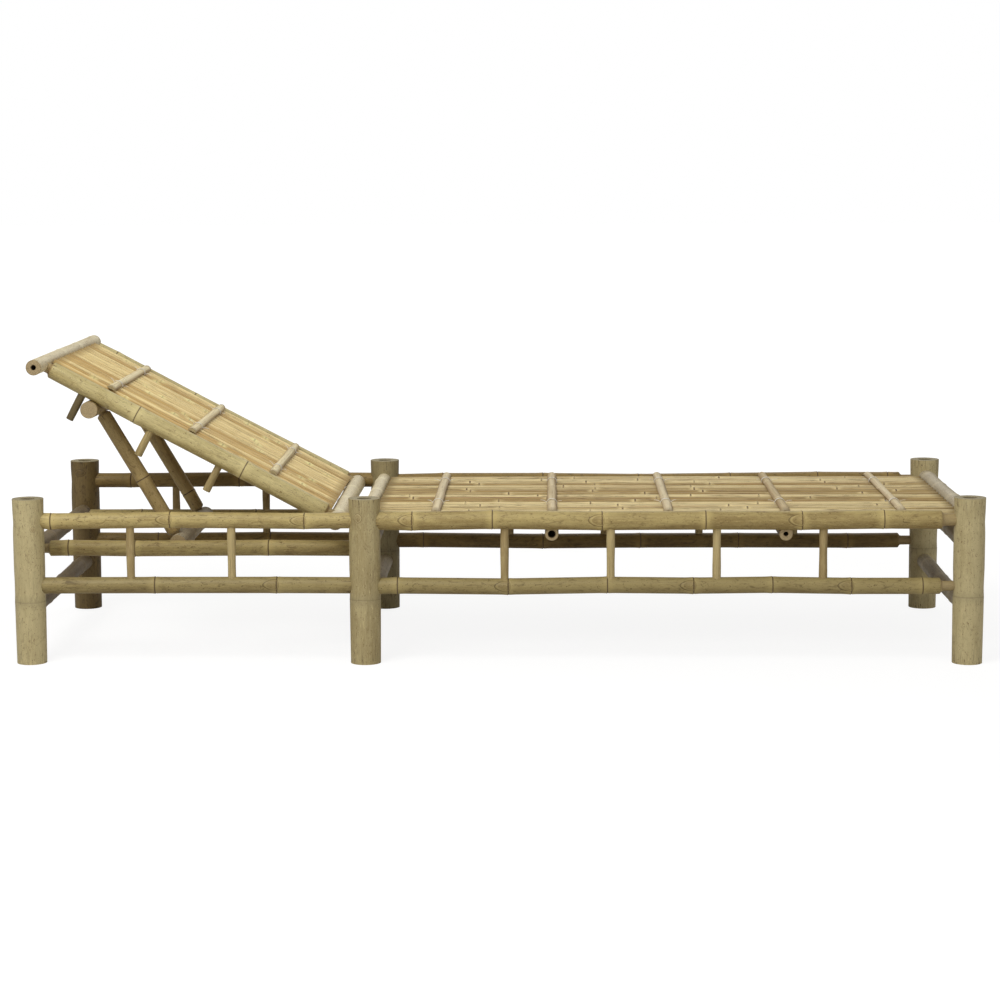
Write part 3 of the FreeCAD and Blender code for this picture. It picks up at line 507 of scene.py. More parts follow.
# %% Culm maker
SWELL, SWELL_RUN = 0.55, 9.0
SCAR_RIDGE, GROOVE = 0.55, 0.55
ROW_STEP = 24.0
NODE_ROWS = (-16, -9, -5, -2.6, -1.2, -0.4, 0.4, 1.2, 2.0, 3.0, 4.6, 7, 12, 18)
SCAR_STEP = 1.5
LINE_SHIFT = 1.4
# The direction of the light for the painted shade: skin that faces away from it is painted darker.
PAINTED_LIGHT_DIRECTION = Vector((0.30, -0.35, 0.88)).normalized()


def eye(place, facing, below=27, above=6, wide=15):
    """A branch scar: its place and facing, its reach along the culm each way, and its half width."""
    return {"place": place, "facing": facing, "below": below, "above": above, "wide": wide}


class Culm:
    """The numbers of one culm, in millimetres along its own axis, from which its rows are made."""

    def __init__(self, name, start, end, girth, nodes=(), scars=(), girth_end=None, sides=44, seed=0):
        self.name = name
        self.start = Vector(start)
        self.axis = (Vector(end) - self.start).normalized()
        self.length = (Vector(end) - self.start).length / MM
        self.girth = girth
        self.girth_end = girth_end or girth
        self.nodes = sorted(nodes)
        self.scars = scars
        self.sides = sides
        self.chance = np.random.default_rng(seed)
        self.bends = [(self.chance.normal(), self.chance.normal()) for _ in self.nodes]
        self.sway = 1.1
        self.relief = 1.0
        self.low_end = ("full", 0, 0)
        self.high_end = ("full", 0, 0)
        self.shape = None
        self.upward = Vector((0, 0, 1)) if abs(self.axis.z) < 0.9 else Vector((0, -1, 0))

    def stations(self):
        """Places along the culm where a row of points is needed."""
        count = max(2, int(self.length / ROW_STEP))
        places = set(even_steps(0, self.length, count))
        for node in self.nodes:
            places = {place for place in places if abs(place - node) > 19}
            places |= {node + step for step in NODE_ROWS}
        for scar in self.scars:
            low, high = scar["place"] - scar["below"] - 3, scar["place"] + scar["above"] + 3
            places = {place for place in places if not low < place < high}
            places |= set(even_steps(low, high, int((high - low) / SCAR_STEP)))
        kept = sorted(place for place in places if 0.5 < place < self.length - 0.5)
        return [0.0, *kept, self.length]

    def radius(self, place):
        share = place / self.length
        radius = (self.girth * (1 - share) + self.girth_end * share) / 2
        for node in self.nodes:
            gap = place - node
            rise = SWELL * math.exp(-((gap / SWELL_RUN) ** 2)) + SCAR_RIDGE * math.exp(-((gap / 0.9) ** 2))
            radius += self.relief * (rise - GROOVE * math.exp(-(((gap - 2.2) / 1.2) ** 2)))
        return radius * (self.shape(place) if self.shape else 1)

    def centre(self, place):
        """The crooked axis: a bend at each node, held to zero at both ends."""
        knots = [0.0, *self.nodes, self.length]
        offsets = [(0.0, 0.0), *self.bends, (0.0, 0.0)]
        side = float(np.interp(place, knots, [offset[0] for offset in offsets]))
        rise = float(np.interp(place, knots, [offset[1] for offset in offsets]))
        return self.sway * side, self.sway * rise

    def build(self):
        side_axis = self.axis.cross(self.upward).normalized()
        rise_axis = side_axis.cross(self.axis).normalized()
        rows = []
        data = {key: [] for key in ("grain", "node_gap", "end_gap", "scar", "cut", "tone", "shade")}
        offset = self.chance.uniform(0, 50)
        tone = self.chance.uniform(0, 1)
        oval = self.chance.uniform(-0.012, 0.012)
        profile = [(place, self.radius(place), 0.0) for place in self.stations()]
        profile = self.with_ends(profile)
        for place, radius, cut in profile:
            side, rise = self.centre(min(max(place, 0.0), self.length))
            row = []
            for step in range(self.sides):
                angle = 2 * math.pi * step / self.sides
                local = radius * (1 + oval * math.cos(2 * angle))
                around = (math.sin(angle), math.cos(angle))
                scar = min([self.scar_reach(mark, place, angle, radius) for mark in self.scars] or [2.0])
                if scar < 1.25 and cut == 0:
                    local += 1.2 * (1 - min(scar, 1.0) ** 2) - 0.6 * math.exp(-(((scar - 1.05) / 0.12) ** 2))
                outward = around[0] * side_axis + around[1] * rise_axis
                point = local * outward + side * side_axis + rise * rise_axis
                row.append(self.start + MM * (place * self.axis + point))
                data["grain"].append((place * MM + offset, local * around[0] * MM, local * around[1] * MM))
                data["node_gap"].append(self.node_gap(place) * MM if cut == 0 else 0.5)
                data["end_gap"].append(max(0.0, min(place, self.length - place)) * MM)
                # Painted shade: the share of shade grows on the side facing away from the light.
                data["shade"].append(0.5 - 0.5 * outward.dot(PAINTED_LIGHT_DIRECTION))
                data["scar"].append(scar)
                data["cut"].append(cut)
                data["tone"].append(tone)
            rows.append(row)
        points = [point for row in rows for point in row]
        return points, closed_skin(rows), data

    def scar_reach(self, mark, place, angle, radius):
        """Distance from a branch scar's middle, where 1 is its rim. The rim is pointed at both ends."""
        turn = (angle - mark["facing"] + math.pi) % (2 * math.pi) - math.pi
        along = place - mark["place"]
        length = mark["above"] if along > 0 else mark["below"]
        return (abs(along / length) ** 1.7 + abs(radius * turn / mark["wide"]) ** 1.7) ** (1 / 1.7)

    def node_gap(self, place):
        """Distance from the nearest node's dark line. It has no sign, so it can be blended between rows."""
        return min([60.0] + [abs(place - node - LINE_SHIFT) for node in self.nodes])

    def with_ends(self, profile):
        """Add the sawn faces, hollows and tenons to the profile."""
        first = self.end_profile(self.low_end, profile[0][1], 0.0, -1)
        last = self.end_profile(self.high_end, profile[-1][1], self.length, 1)
        if self.low_end[0] == "whittled":
            profile = [station for station in profile if station[0] > self.low_end[2]]
        if self.high_end[0] == "whittled":
            profile = [station for station in profile if station[0] < self.length - self.high_end[2]]
        return list(reversed(first)) + profile + last

    def end_profile(self, end, radius, place, outward):
        """Stations from the culm's skin outward and then inward, at one of its ends."""
        kind, first, second = end
        if kind == "full":
            reach = place + outward * first
            return [(reach - outward * 0.4, radius, 0.0), (reach, radius - 0.4, 1.0), (reach, 0.2, 1.0)]
        if kind == "whittled":
            neck_start = place - outward * second
            slim = radius - 6.5
            tip = place + outward * first
            return [
                (neck_start - outward * 1.5, radius, 0.0), (neck_start, radius - 1.0, 0.6),
                (neck_start + outward * 3.5, slim + 0.6, 0.8), (neck_start + outward * 6, slim, 0.55),
                (tip, slim - 0.3, 0.55), (tip, 0.2, 1.0),
            ]
        bore, depth = first, second
        # cut 1.3 and 2.0 mark the mouth and the inside of the bore, which the finish darkens as painted shade.
        return [
            (place - outward * 0.9, radius, 0.0), (place - outward * 0.2, radius - 0.5, 1.0),
            (place, radius - 1.2, 1.0), (place, bore + 0.8, 1.0),
            (place - outward * 0.8, bore, 1.3), (place - outward * 7, bore - 0.4, 2.0),
            (place - outward * depth, bore - 0.8, 2.0), (place - outward * (depth + 1.4), 0.2, 2.0),
        ]


def add_culm(culm, finish=None):
    points, faces, data = culm.build()
    name = culm.name
    material = finishes[finish or node_slot[name]]
    return finish_piece(name + "_culm", node_body[name], [name], points, faces, data, material)


print("a culm's node is", 2 * SWELL, "mm thicker than the culm beside it")

# %% [markdown]
# ## Legs
# The six legs are the thickest culms, sawn off level at the foot and the top. Both ends are hollow down to
# the next node's wall. Each leg is a little waisted where the side rails are let in, and its top flares into
# a lip, as a culm does just above a node.

# %% Legs
LEG_BORE, LEG_NODE = 15.0, 128.0
UPPER_RAIL, LOWER_RAIL = 297.0, 160.0
leg_low, leg_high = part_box("near_head_leg")
LEG_HEIGHT = leg_high.z / MM
LEG_GIRTH = (leg_high.x - leg_low.x) / MM - 1.0
row_x, side_y = {}, {}
for row in ("head", "middle", "foot"):
    low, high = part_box(f"near_{row}_leg")
    row_x[row] = (low.x + high.x) / 2
for side in ("near", "far"):
    low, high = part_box(f"{side}_foot_leg")
    side_y[side] = (low.y + high.y) / 2


def leg_shape(place):
    """A slimmer foot, a waist at each rail and a lip at the top, as shares of the leg's girth."""
    foot = 0.035 * max(0.0, 1 - place / 150)
    waist = 0.035 * math.exp(-(((place - UPPER_RAIL) / 16) ** 2))
    waist += 0.03 * math.exp(-(((place - LOWER_RAIL) / 20) ** 2))
    lip = 0.012 * math.exp(-(((place - LEG_HEIGHT + 6) / 12) ** 2))
    return 1 - foot - waist + lip - 0.012


leg_knots = {
    "near_head_leg": [eye(282, math.radians(28), 6, 6, 6)],
    "near_middle_leg": [eye(305, math.radians(-22), 10, 10, 9)],
    "far_head_leg": [eye(318, math.radians(-12), 9, 7, 14)],
}
# far_middle_leg takes the leg skin dimmed by painted shade; far_head_leg a darker skin that is partly its own
# colour, partly painted shade.
leg_finish = {"far_head_leg": "dark_leg_culm", "far_middle_leg": "far_leg_culm"}
for index, (side, y) in enumerate(side_y.items()):
    for step, (row, x) in enumerate(row_x.items()):
        name = f"{side}_{row}_leg"
        leg = Culm(name, (x, y, 0), (x, y, LEG_HEIGHT * MM), LEG_GIRTH, [LEG_NODE + 5 * step],
                   leg_knots.get(name, ()), None, 64, 10 * index + step)
        leg.shape = leg_shape
        leg.sway = 0.3
        leg.relief = 0.25
        leg.low_end = ("hollow", LEG_BORE, 60)
        leg.high_end = ("hollow", LEG_BORE, 24)
        add_culm(leg, leg_finish.get(name, "leg_culm"))
print("legs:", len(side_y) * len(row_x))

# %% [markdown]
# ## Side rails
# Upper and lower rails run from leg to leg. At the foot end each is whittled to a neck that goes into the
# foot leg. The places of the nodes and branch scars are taken from the near side as it is seen.

# %% Side rails
def from_head(value):
    return value - row_x["head"] / MM


def rail_run(name):
    """Ends of a rail that lies along X, from its solid's box."""
    low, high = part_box(name)
    middle = (low + high) / 2
    return Vector((low.x, middle.y, middle.z)), Vector((high.x, middle.y, middle.z)), (high.z - low.z) / MM


SCAR_FRONT, SCAR_BACK = math.radians(80), math.radians(-80)
rail_nodes = {
    "near_head_upper_rail": ((-921, -675, -398), (-675, -398)),
    "near_head_lower_rail": ((-708, -456), (-456,)),
    "near_seat_upper_rail": ((-176, -11, 214, 426, 623, 790), (-176, 214, 623)),
    "near_seat_lower_rail": ((-207, 21, 225, 402, 564, 725, 871), (21, 402, 725)),
    "far_head_upper_rail": ((-860, -610, -370), (-610,)),
    "far_head_lower_rail": ((-800, -540, -345), (-540,)),
    "far_seat_upper_rail": ((-140, 90, 310, 520, 720, 880), (90, 520)),
    "far_seat_lower_rail": ((-186, 90, 315, 540, 791), (315,)),
}
RING_RISE = 0.8
# The far rails were let in as listed: how far each end lies below its place, and how much slimmer it is, in mm.
rail_drop = {"far_seat_upper_rail": (4.5, 0.5, 3.5), "far_seat_lower_rail": (3.5, 4.5, 0),
             "far_head_lower_rail": (2, 3, 0), "near_head_lower_rail": (-1.5, -1.5, 0)}
for seed, (name, (nodes, scars)) in enumerate(rail_nodes.items()):
    start, end, height = rail_run(name)
    low_drop, high_drop, slimmer = rail_drop.get(name, (0, 0, 0))
    start.z -= low_drop * MM
    end.z -= high_drop * MM
    girth = height - 2 * RING_RISE - slimmer
    start_mm = start.x / MM
    facing = SCAR_FRONT if name.startswith("near") else SCAR_BACK
    marks = [eye(x - start_mm, facing, wide=0.36 * girth) for x in scars]
    rail = Culm(name, start, end, girth, [x - start_mm for x in nodes], marks, None, 48, 40 + seed)
    rail.sway = 1.6
    if "seat" in name:
        rail.high_end = ("whittled", 0, 40)
    # Lower rails take the rail skin dimmed by painted shade; far rails a darker skin, partly their own colour and
    # partly painted shade.
    finish = "far_rail_culm" if name.startswith("far") else "rail_culm" if "upper" in name else "low_rail_culm"
    add_culm(rail, finish)
print("side rails:", len(rail_nodes))

# %% [markdown]
# ## Cross rails and bars
# The cross rails, the bearers under the seat, the hinge bar, the prop's bars and the backrest's top rail all
# lie across the lounger. Each is one culm with two or three nodes.

# %% Bars across the lounger
def bar_run(name):
    """Ends of a bar that lies along Y, from its solid's box."""
    low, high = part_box(name)
    middle = (low + high) / 2
    return Vector((middle.x, low.y, middle.z)), Vector((middle.x, high.y, middle.z)), (high.z - low.z) / MM


# The head's cross rails under the backrest take a darker skin, partly their own colour and partly painted shade.
bar_finish = {"middle_top_cross_rail": "pale_culm", "head_upper_cross_rail": "dark_cross_culm",
              "head_lower_cross_rail": "dark_cross_culm"}
cross_names = sorted(name for name in frame["nodes"] if "cross_rail" in name)
for seed, name in enumerate(cross_names):
    start, end, height = bar_run(name)
    length = (end - start).length / MM
    first = 150 + 45 * (seed % 3)
    girth = height - 2 * RING_RISE
    if name == "middle_top_cross_rail":
        girth = 29
        start.z -= 3 * MM
        end.z -= 3 * MM
    bar = Culm(name, start, end, girth, [first, first + 190, first + 370], (), None, 40, 80 + seed)
    add_culm(bar, bar_finish.get(name))
BEARER_BORE, BEARER_GIRTH, BEARER_SEAT = 8.0, 28.0, 16.3
for seed, name in enumerate(("head_bearer", "foot_bearer")):
    low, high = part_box(name)
    start = Vector(((low.x + high.x) / 2, low.y, high.z - BEARER_SEAT * MM))
    end = Vector((start.x, high.y, start.z))
    pole = Culm(name, start, end, BEARER_GIRTH, [170, 480], (), None, 36, 95 + seed)
    pole.low_end = pole.high_end = ("hollow", BEARER_BORE if seed == 0 else BEARER_BORE - 3, 40)
    # The bearers under the seat take the far rails' darker skin, partly painted shade.
    add_culm(pole, "far_rail_culm")
hinge_start, hinge_end, _ = bar_run("hinge_bar")
hinge_bar = Culm("hinge_bar", hinge_start, hinge_end, 36, [75, 250, 430], (), None, 44, 101)
add_culm(hinge_bar)
top_start, top_end, _ = bar_run("backrest_top_rail")
top_rail = Culm("backrest_top_rail", top_start, top_end, 31.4, [287, 475, 670], (), None, 44, 102)
top_rail.sway, top_rail.relief = 0.15, 0.6
top_rail.low_end = top_rail.high_end = ("hollow", 5.5, 40)
add_culm(top_rail)
bar_start, bar_end, _ = bar_run("prop_top_bar")
prop_bar = Culm("prop_top_bar", bar_start, bar_end, 35.6, [180, 420], (), None, 40, 103)
add_culm(prop_bar)
foot_start, foot_end, _ = bar_run("prop_foot_bar")
foot_bar = Culm("prop_foot_bar", foot_start, foot_end, 38, [130, 330], (), None, 40, 104)
add_culm(foot_bar, "cross_culm")
for seed, side in enumerate(("near", "far")):
    start, end, height = rail_run(f"{side}_prop_rail")
    start.z -= 2 * MM
    end.z -= 2 * MM
    rail = Culm(f"{side}_prop_rail", start, end, 33, [60, 200, 480] if seed == 0 else [140, 400], (), None, 40,
                105 + seed)
    rail.low_end = ("whittled", 0, 22)
    rail.high_end = ("whittled", 0, 14)
    add_culm(rail)
print("cross rails:", len(cross_names), "and six bars")

# %% [markdown]
# ## Backrest rails and prop legs
# These culms lie at a slant. Their line is worked out from the bars that they join, so they follow the frame:
# the backrest rails run from the hinge bar to the top rail, and the prop's legs from its foot bar to its top
# bar.

# %% Slanted culms
def middle_of(start, end):
    return (start + end) / 2


hinge = middle_of(hinge_start, hinge_end)
crown = middle_of(top_start, top_end)
up_backrest = (crown - hinge).normalized()
above_backrest = Vector((0, 1, 0)).cross(up_backrest) * -1
if above_backrest.z < 0:
    above_backrest = -above_backrest
backrest_length = (crown - hinge).length / MM


def on_backrest(along, across, above):
    """A point of the backrest: millimetres up it from the hinge, across it and above its rails' axes."""
    return hinge + MM * (along * up_backrest + above * above_backrest) + Vector((0, across * MM, 0))


SIDES = (("near", -1), ("far", 1))
BACKREST_RAIL_Y, SOCKET_DEPTH = 268.0, 12.0
HINGE_BAR_FACE, TOP_RAIL_FACE, FOOT_BAR_FACE, TOP_BAR_FACE = 18, 16, 19, 18
for seed, (side, sign) in enumerate(SIDES):
    start = on_backrest(HINGE_BAR_FACE, BACKREST_RAIL_Y * sign, 0)
    end = on_backrest(backrest_length - TOP_RAIL_FACE, BACKREST_RAIL_Y * sign, 0)
    nodes = [198, 446] if side == "near" else [150, 400, 600]
    scars = [eye(446, math.radians(40), 20, 5, 13)] if side == "near" else []
    rail = Culm(f"{side}_backrest_rail", start, end, 41, nodes, scars, 35, 48, 120 + seed)
    rail.low_end = ("whittled", SOCKET_DEPTH, 10)
    rail.high_end = ("whittled", SOCKET_DEPTH, 8)
    add_culm(rail)
prop_foot = middle_of(foot_start, foot_end)
prop_head = middle_of(bar_start, bar_end)
up_prop = (prop_head - prop_foot).normalized()
PROP_LEG_Y = 178.0
for seed, (side, sign) in enumerate(SIDES):
    across = Vector((0, PROP_LEG_Y * sign * MM, 0))
    start = prop_foot + up_prop * FOOT_BAR_FACE * MM + across
    end = prop_head - up_prop * TOP_BAR_FACE * MM + across
    leg = Culm(f"{side}_prop_leg", start, end, 30.4, [134] if side == "near" else [45], (), None, 40, 130 + seed)
    leg.low_end = ("whittled", SOCKET_DEPTH, 5)
    leg.high_end = ("whittled", SOCKET_DEPTH, 5)
    add_culm(leg)
print("backrest length:", round(backrest_length), "mm")

# %% [markdown]
# ## Sticks
# Spindles, pegs and pins are thin sticks. Each group is one mesh, because the frame holds each group as one
# piece.

# %% Sticks
def stick_rows(start, end, girth, chance, sides=18):
    """Rows of a thin stick, a little crooked and uneven."""
    axis = (end - start).normalized()
    upward = Vector((1, 0, 0)) if abs(axis.x) < 0.7 else Vector((0, 1, 0))
    side_axis = axis.cross(upward).normalized()
    rise_axis = side_axis.cross(axis)
    length = (end - start).length / MM
    places = [0, 0.4, *even_steps(4, length - 4, max(3, int(length / 9))), length - 0.4, length]
    wave = chance.uniform(0, 6, 4)
    rows = []
    for index, place in enumerate(places):
        edge = index in (0, len(places) - 1)
        radius = girth / 2 - (0.5 if edge else 0) + 0.35 * math.sin(place / 17 + wave[0])
        side = 0.7 * math.sin(place / 31 + wave[1]) * math.sin(math.pi * place / length)
        row = []
        for step in range(sides):
            angle = 2 * math.pi * step / sides
            local = radius * (1 + 0.03 * math.cos(3 * angle + wave[2]))
            across, rise = local * math.sin(angle), local * math.cos(angle)
            offset = (side + across) * side_axis + rise * rise_axis
            row.append((start + MM * (place * axis + offset), place, across, rise))
        rows.append(row)
    return rows


def add_sticks(name, ends, girth, seed, tones=()):
    """tones, where given, says how dark each stick is."""
    chance = np.random.default_rng(seed)
    points, faces = [], []
    data = {"grain": [], "cut": [], "tone": []}
    for number, (start, end) in enumerate(ends):
        rows = stick_rows(Vector(start), Vector(end), girth, chance)
        tone = tones[number] if tones else chance.uniform(0, 1)
        offset = chance.uniform(0, 30)
        base = len(points)
        for index, row in enumerate(rows):
            for point, place, across, rise in row:
                points.append(point)
                data["grain"].append((place * MM + offset, across * MM, rise * MM))
                data["cut"].append(1.0 if index in (0, len(rows) - 1) else 0.0)
                data["tone"].append(tone)
        faces += closed_skin(rows, base)
    material = finishes[node_slot[name]]
    return finish_piece(name + "_sticks", node_body[name], [name], points, faces, data, material)


SPINDLE_X = {"head": (-757, -548), "seat": (15, 233, 451, 669)}
for seed, side in enumerate(("near", "far")):
    for bay, places in SPINDLE_X.items():
        low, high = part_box(f"{side}_{bay}_spindles")
        y = (low.y + high.y) / 2
        ends = [((x * MM, y, low.z), (x * MM, y, high.z)) for x in places]
        add_sticks(f"{side}_{bay}_spindles", ends, 17, 140 + seed)
PEG_PLACES, PEG_TONES = (585, 426, 267), (2.6, 0.4, 0.6)
PEG_ROOT, PEG_TIP = -4, -75
PIN_LENGTH = 44.5
for seed, (side, sign) in enumerate(SIDES):
    y = BACKREST_RAIL_Y * sign
    ends = [(on_backrest(along, y, PEG_ROOT), on_backrest(along, y, PEG_TIP)) for along in PEG_PLACES]
    add_sticks(f"{side}_rest_pegs", ends, 16, 150 + seed, PEG_TONES)
for name in ("hinge_pins", "prop_pins"):
    low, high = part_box(name)
    middle = (low + high) / 2
    reach = PIN_LENGTH * MM
    girth = (high.z - low.z) / MM
    ends = [((middle.x, low.y, middle.z), (middle.x, low.y + reach, middle.z))]
    ends.append(((middle.x, high.y - reach, middle.z), (middle.x, high.y, middle.z)))
    add_sticks(name, ends, girth, 160)
print("sticks: twelve spindles, six pegs and four pins")

# %% [markdown]
# ## Split strips
# A slat is a culm split lengthwise, laid round side up. Its edges are ragged, it carries the brown rings of
# its nodes, and it never lies quite flat. The battens across the slats are the same kind of strip, narrower
# and paler.

# %% Strips
def strip_rows(length, width, thickness, nodes, chance, across_points=13, wander=0.8, droop=None):
    """Rows of one split strip in its own frame: along, across and up, in millimetres."""
    places = set(even_steps(0, length, max(3, int(length / 22))))
    for node in nodes:
        places |= {node + step for step in (-9, -4, -1.5, -0.5, 0.5, 1.5, 4, 9) if 0 < node + step < length}
    places = sorted(places)
    wave = chance.uniform(0, 6, 6)
    rows = []
    for place in places:
        shift = wander * math.sin(place / 170 + wave[0]) + 0.4 * wander * math.sin(place / 53 + wave[1])
        lift = 0.35 * wander * math.sin(place / 140 + wave[2])
        half = width / 2 + 0.3 * math.sin(place / 41 + wave[3])
        bump = sum(math.exp(-(((place - node) / 3.0) ** 2)) for node in nodes)
        row = []
        for step in range(across_points):
            share = -1 + 2 * step / (across_points - 1)
            rise = thickness * math.sqrt(max(0.0, 1 - 0.92 * share * share)) - 0.28 * thickness
            rise = max(rise, 0.12 * thickness) * 1.385 + 0.8 * bump * (1 - share * share)
            ripple = 0.18 * math.sin(share * 9 + wave[4]) * (1 - share * share)
            row.append((place, shift + share * half, lift + rise + ripple, abs(share)))
        row.append((place, shift + half * 0.96, lift, 1.0))
        row.append((place, shift - half * 0.96, lift, 1.0))
        if droop:
            row = [(a, b, c - droop(a), d) for a, b, c, d in row]
        rows.append(row)
    return rows


def add_strips(name, strips, seed, wander=0.8, finish=None):
    """strips holds, for each strip, its origin, its along, across and up directions, and its sizes."""
    chance = np.random.default_rng(seed)
    points, faces = [], []
    data = {"grain": [], "node_gap": [], "cut": [], "tone": [], "edge": []}
    for strip in strips:
        length, width, thickness = strip["size"]
        nodes = strip.get("nodes")
        if nodes is None:
            first = chance.uniform(40, 280)
            nodes = [first + step * chance.uniform(250, 310) for step in range(int(length / 250))]
            nodes = [node for node in nodes if 15 < node < length - 15]
        rows = strip_rows(length, width, thickness, nodes, chance, wander=wander, droop=strip.get("droop"))
        tone = chance.uniform(0, 1)
        offset = chance.uniform(0, 60)
        base = len(points)
        for index, row in enumerate(rows):
            for place, across, rise, edge in row:
                point = place * strip["along"] + across * strip["across"] + rise * strip["up"]
                points.append(strip["origin"] + MM * point)
                data["grain"].append((place * MM + offset, across * MM, rise * MM))
                data["node_gap"].append(MM * min([60.0] + [abs(place - node) for node in nodes]))
                data["cut"].append(1.0 if index in (0, len(rows) - 1) else 0.0)
                data["tone"].append(tone)
                # edge: nearness to the strip's edge, which the finish darkens as painted shade.
                data["edge"].append(max(0.0, (edge - 0.5) / 0.5) ** 1.5)
        faces += closed_skin(rows, base)
    material = finishes[finish or node_slot[name]]
    return finish_piece(name + "_strips", node_body[name], [name], points, faces, data, material)


def strip_at(origin, along, across, up, size, **extra):
    """One strip: where it starts, its three directions, and its length, width and thickness."""
    return {"origin": origin, "along": along, "across": across, "up": up, "size": size, **extra}

print("strips are ready to be laid")

# %% [markdown]
# ## Slats
# The slats of the seat lie side by side between the cross rails, and those of the backrest between the hinge
# bar and the top rail. Each fills its share of the width but for a narrow joint.

# %% Slats
X, Y, Z = (Vector(axis) for axis in ((1, 0, 0), (0, 1, 0), (0, 0, 1)))
SLAT_COUNT, JOINT_SPREAD = 15, 0.9

def slat_width(spacing, joint, index):
    """The joint beside a slat differs a little from slat to slat."""
    return spacing - joint - JOINT_SPREAD * math.sin(2.4 * index) ** 2

low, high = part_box("seat_slats")
spacing = (high.y - low.y) / MM / SLAT_COUNT
seat_strips = []
for index in range(SLAT_COUNT):
    y = low.y + (index + 0.5) * spacing * MM
    size = ((high.x - low.x) / MM, slat_width(spacing, 0.9, index), 13.0)
    seat_strips.append(strip_at(Vector((low.x, y, low.z)), X, Y, Z, size))
add_strips("seat_slats", seat_strips, 200)
BACK_SPACING, BACK_SLAT_LOW, SLAT_END_GAP = 32.6, 9.0, 0.8
slat_length = backrest_length - TOP_RAIL_FACE - HINGE_BAR_FACE - 2 * SLAT_END_GAP
backrest_strips = []
for index in range(SLAT_COUNT):
    across = BACK_SPACING * (index - (SLAT_COUNT - 1) / 2)
    size = (slat_length, slat_width(BACK_SPACING, 0.8, index), 8.3)
    origin = on_backrest(HINGE_BAR_FACE + SLAT_END_GAP, across, BACK_SLAT_LOW)
    backrest_strips.append(strip_at(origin, up_backrest, Y, above_backrest, size))
add_strips("backrest_slats", backrest_strips, 210, 0.5)
print("slats:", 2 * SLAT_COUNT)

# %% [markdown]
# ## Battens
# One batten lies across the slats above them and another below them, and the ties pull the two together. The
# seat's battens are bent down at their ends, past the last slats. The backrest's are straight and paler.

# %% Battens of the seat
BATTEN_X = tuple(-128 + 240 * index for index in range(5))
BATTEN_REACH, BATTEN_TOP_Z = 304.0, 312.3
DROOP, DROOP_RUN = 5.5, 22

def batten_droop(place):
    """The ends of a batten are bent down past the last slats."""
    past = max(0.0, abs(place - BATTEN_REACH) - (BATTEN_REACH - DROOP_RUN))
    return DROOP * (past / DROOP_RUN) ** 2

low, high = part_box("seat_under_battens")
over_seat, under_seat = [], []
for x in BATTEN_X:
    origin = Vector((x * MM, -BATTEN_REACH * MM, BATTEN_TOP_Z * MM))
    over_seat.append(strip_at(origin, Y, -X, Z, (2 * BATTEN_REACH, 20, 7.4), droop=batten_droop))
    origin = Vector((x * MM, low.y, low.z))
    under_seat.append(strip_at(origin, Y, -X, Z, ((high.y - low.y) / MM, 18.6, 12.2)))
add_strips("seat_battens", over_seat, 220, 0.6)
add_strips("seat_under_battens", under_seat, 225, 0.3)
print("seat battens:", len(over_seat) + len(under_seat))

# %% Battens of the backrest
BACK_BATTENS = (162, 351.5, 541)
BACK_REACH, BACK_BATTEN_LOW, BACK_UNDER_LOW = 247.0, 18.3, -0.3
over_back, under_back = [], []
for along in BACK_BATTENS:
    origin = on_backrest(along, -BACK_REACH, BACK_BATTEN_LOW)
    over_back.append(strip_at(origin, Y, up_backrest, above_backrest, (2 * BACK_REACH, 18, 6.8)))
    origin = on_backrest(along, -BACK_REACH, BACK_UNDER_LOW)
    under_back.append(strip_at(origin, Y, up_backrest, above_backrest, (2 * BACK_REACH, 16.6, 8.4)))
add_strips("backrest_battens", over_back, 230, 0.6, "back_batten")
add_strips("backrest_under_battens", under_back, 235, 0.3)
print("backrest battens:", len(over_back) + len(under_back))

# %% [markdown]
# ## Cane ties
# Each batten is tied down in two places with split cane. The strip goes over the batten, down through the
# joint between two slats on each side, and its ends stand out as short tails.

# %% Ties
def ribbon(path, width, thickness, chance):
    """Rows of a flat strip of cane along a path of points, in metres."""
    rows = []
    turned = chance.uniform(-0.2, 0.2)
    for index, (point, up_here) in enumerate(path):
        before = path[max(0, index - 1)][0]
        after = path[min(len(path) - 1, index + 1)][0]
        along = (after - before).normalized()
        across = along.cross(up_here).normalized()
        lift = across.cross(along)
        row = []
        for step in range(8):
            angle = 2 * math.pi * step / 8 + turned
            row.append(point + MM * (width / 2 * math.cos(angle) * across + thickness / 2 * math.sin(angle) * lift))
        rows.append(row)
    return rows


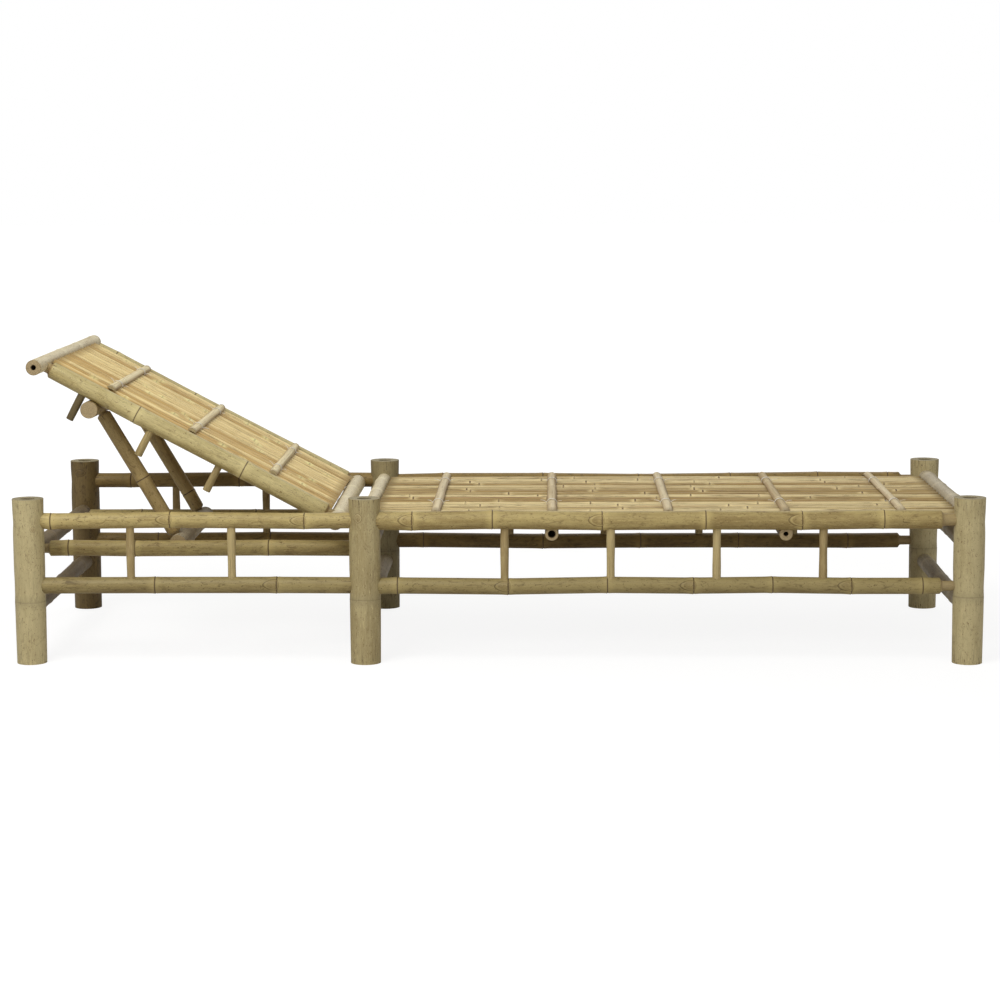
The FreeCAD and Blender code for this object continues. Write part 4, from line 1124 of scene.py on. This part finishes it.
def add_ties(name, places, seed):
    """places holds, for each tie, the middle of the batten's flat side, its three directions and its sizes."""
    chance = np.random.default_rng(seed)
    points, faces = [], []
    data = {"grain": []}
    for place in places:
        middle, over, beside, up_here = place["middle"], place["over"], place["beside"], place["up"]
        half, rise = place["half"], place["rise"]
        for turn in (-1.6, 0.4, 2.2):
            turn = turn + chance.uniform(-0.4, 0.4)
            path = []
            for step in range(15):
                angle = math.pi * (1.12 - 1.24 * step / 14)
                across = (half + 1.2) * math.cos(angle)
                height = (rise + 1.0) * max(-0.4, math.sin(angle))
                skew = turn + 0.9 * step / 14
                point = middle + MM * (across * over + height * up_here + skew * beside)
                normal = (math.cos(angle) * over + math.sin(angle) * up_here).normalized()
                path.append((point, normal))
            append_ribbon(points, faces, data, ribbon(path, 2.6, 0.9, chance), chance)
        for sign in (-1, 1):
            path = []
            reach = chance.uniform(9, 15)
            drift = chance.uniform(-8, 8)
            for step in range(6):
                share = step / 5
                across = sign * (half + 1.0 + reach * share)
                height = 1.5 + 2.6 * math.sin(2.2 * share) + 1.4 * share
                path.append((middle + MM * (across * over + height * up_here + drift * share * beside), up_here))
            append_ribbon(points, faces, data, ribbon(path, 2.2, 0.7, chance), chance)
    material = finishes["cane_tie"]
    return finish_piece(name + "_cane", node_body[name], [name], points, faces, data, material)


def append_ribbon(points, faces, data, rows, chance):
    base = len(points)
    offset = chance.uniform(0, 9)
    for index, row in enumerate(rows):
        for step, point in enumerate(row):
            points.append(point)
            data["grain"].append((index * 2 * MM + offset, math.cos(step) * MM, math.sin(step) * MM))
    faces += closed_skin(rows, base)


SEAT_TIE_Y = 175.0
BACK_TIE_Y = 150.5
seat_ties = []
for x in BATTEN_X:
    for sign in (-1, 1):
        middle = Vector((x, SEAT_TIE_Y * sign, BATTEN_TOP_Z)) * MM
        seat_ties.append({"middle": middle, "over": X, "beside": Y, "up": Z, "half": 9.5, "rise": 8})
add_ties("seat_ties", seat_ties, 240)
back_ties = []
for along in BACK_BATTENS:
    for sign in (-1, 1):
        middle = on_backrest(along, BACK_TIE_Y * sign, BACK_BATTEN_LOW)
        back_ties.append({"middle": middle, "over": up_backrest, "beside": Y, "up": above_backrest, "half": 8.5,
                          "rise": 7})
add_ties("backrest_ties", back_ties, 250)
print("ties:", len(seat_ties) + len(back_ties))
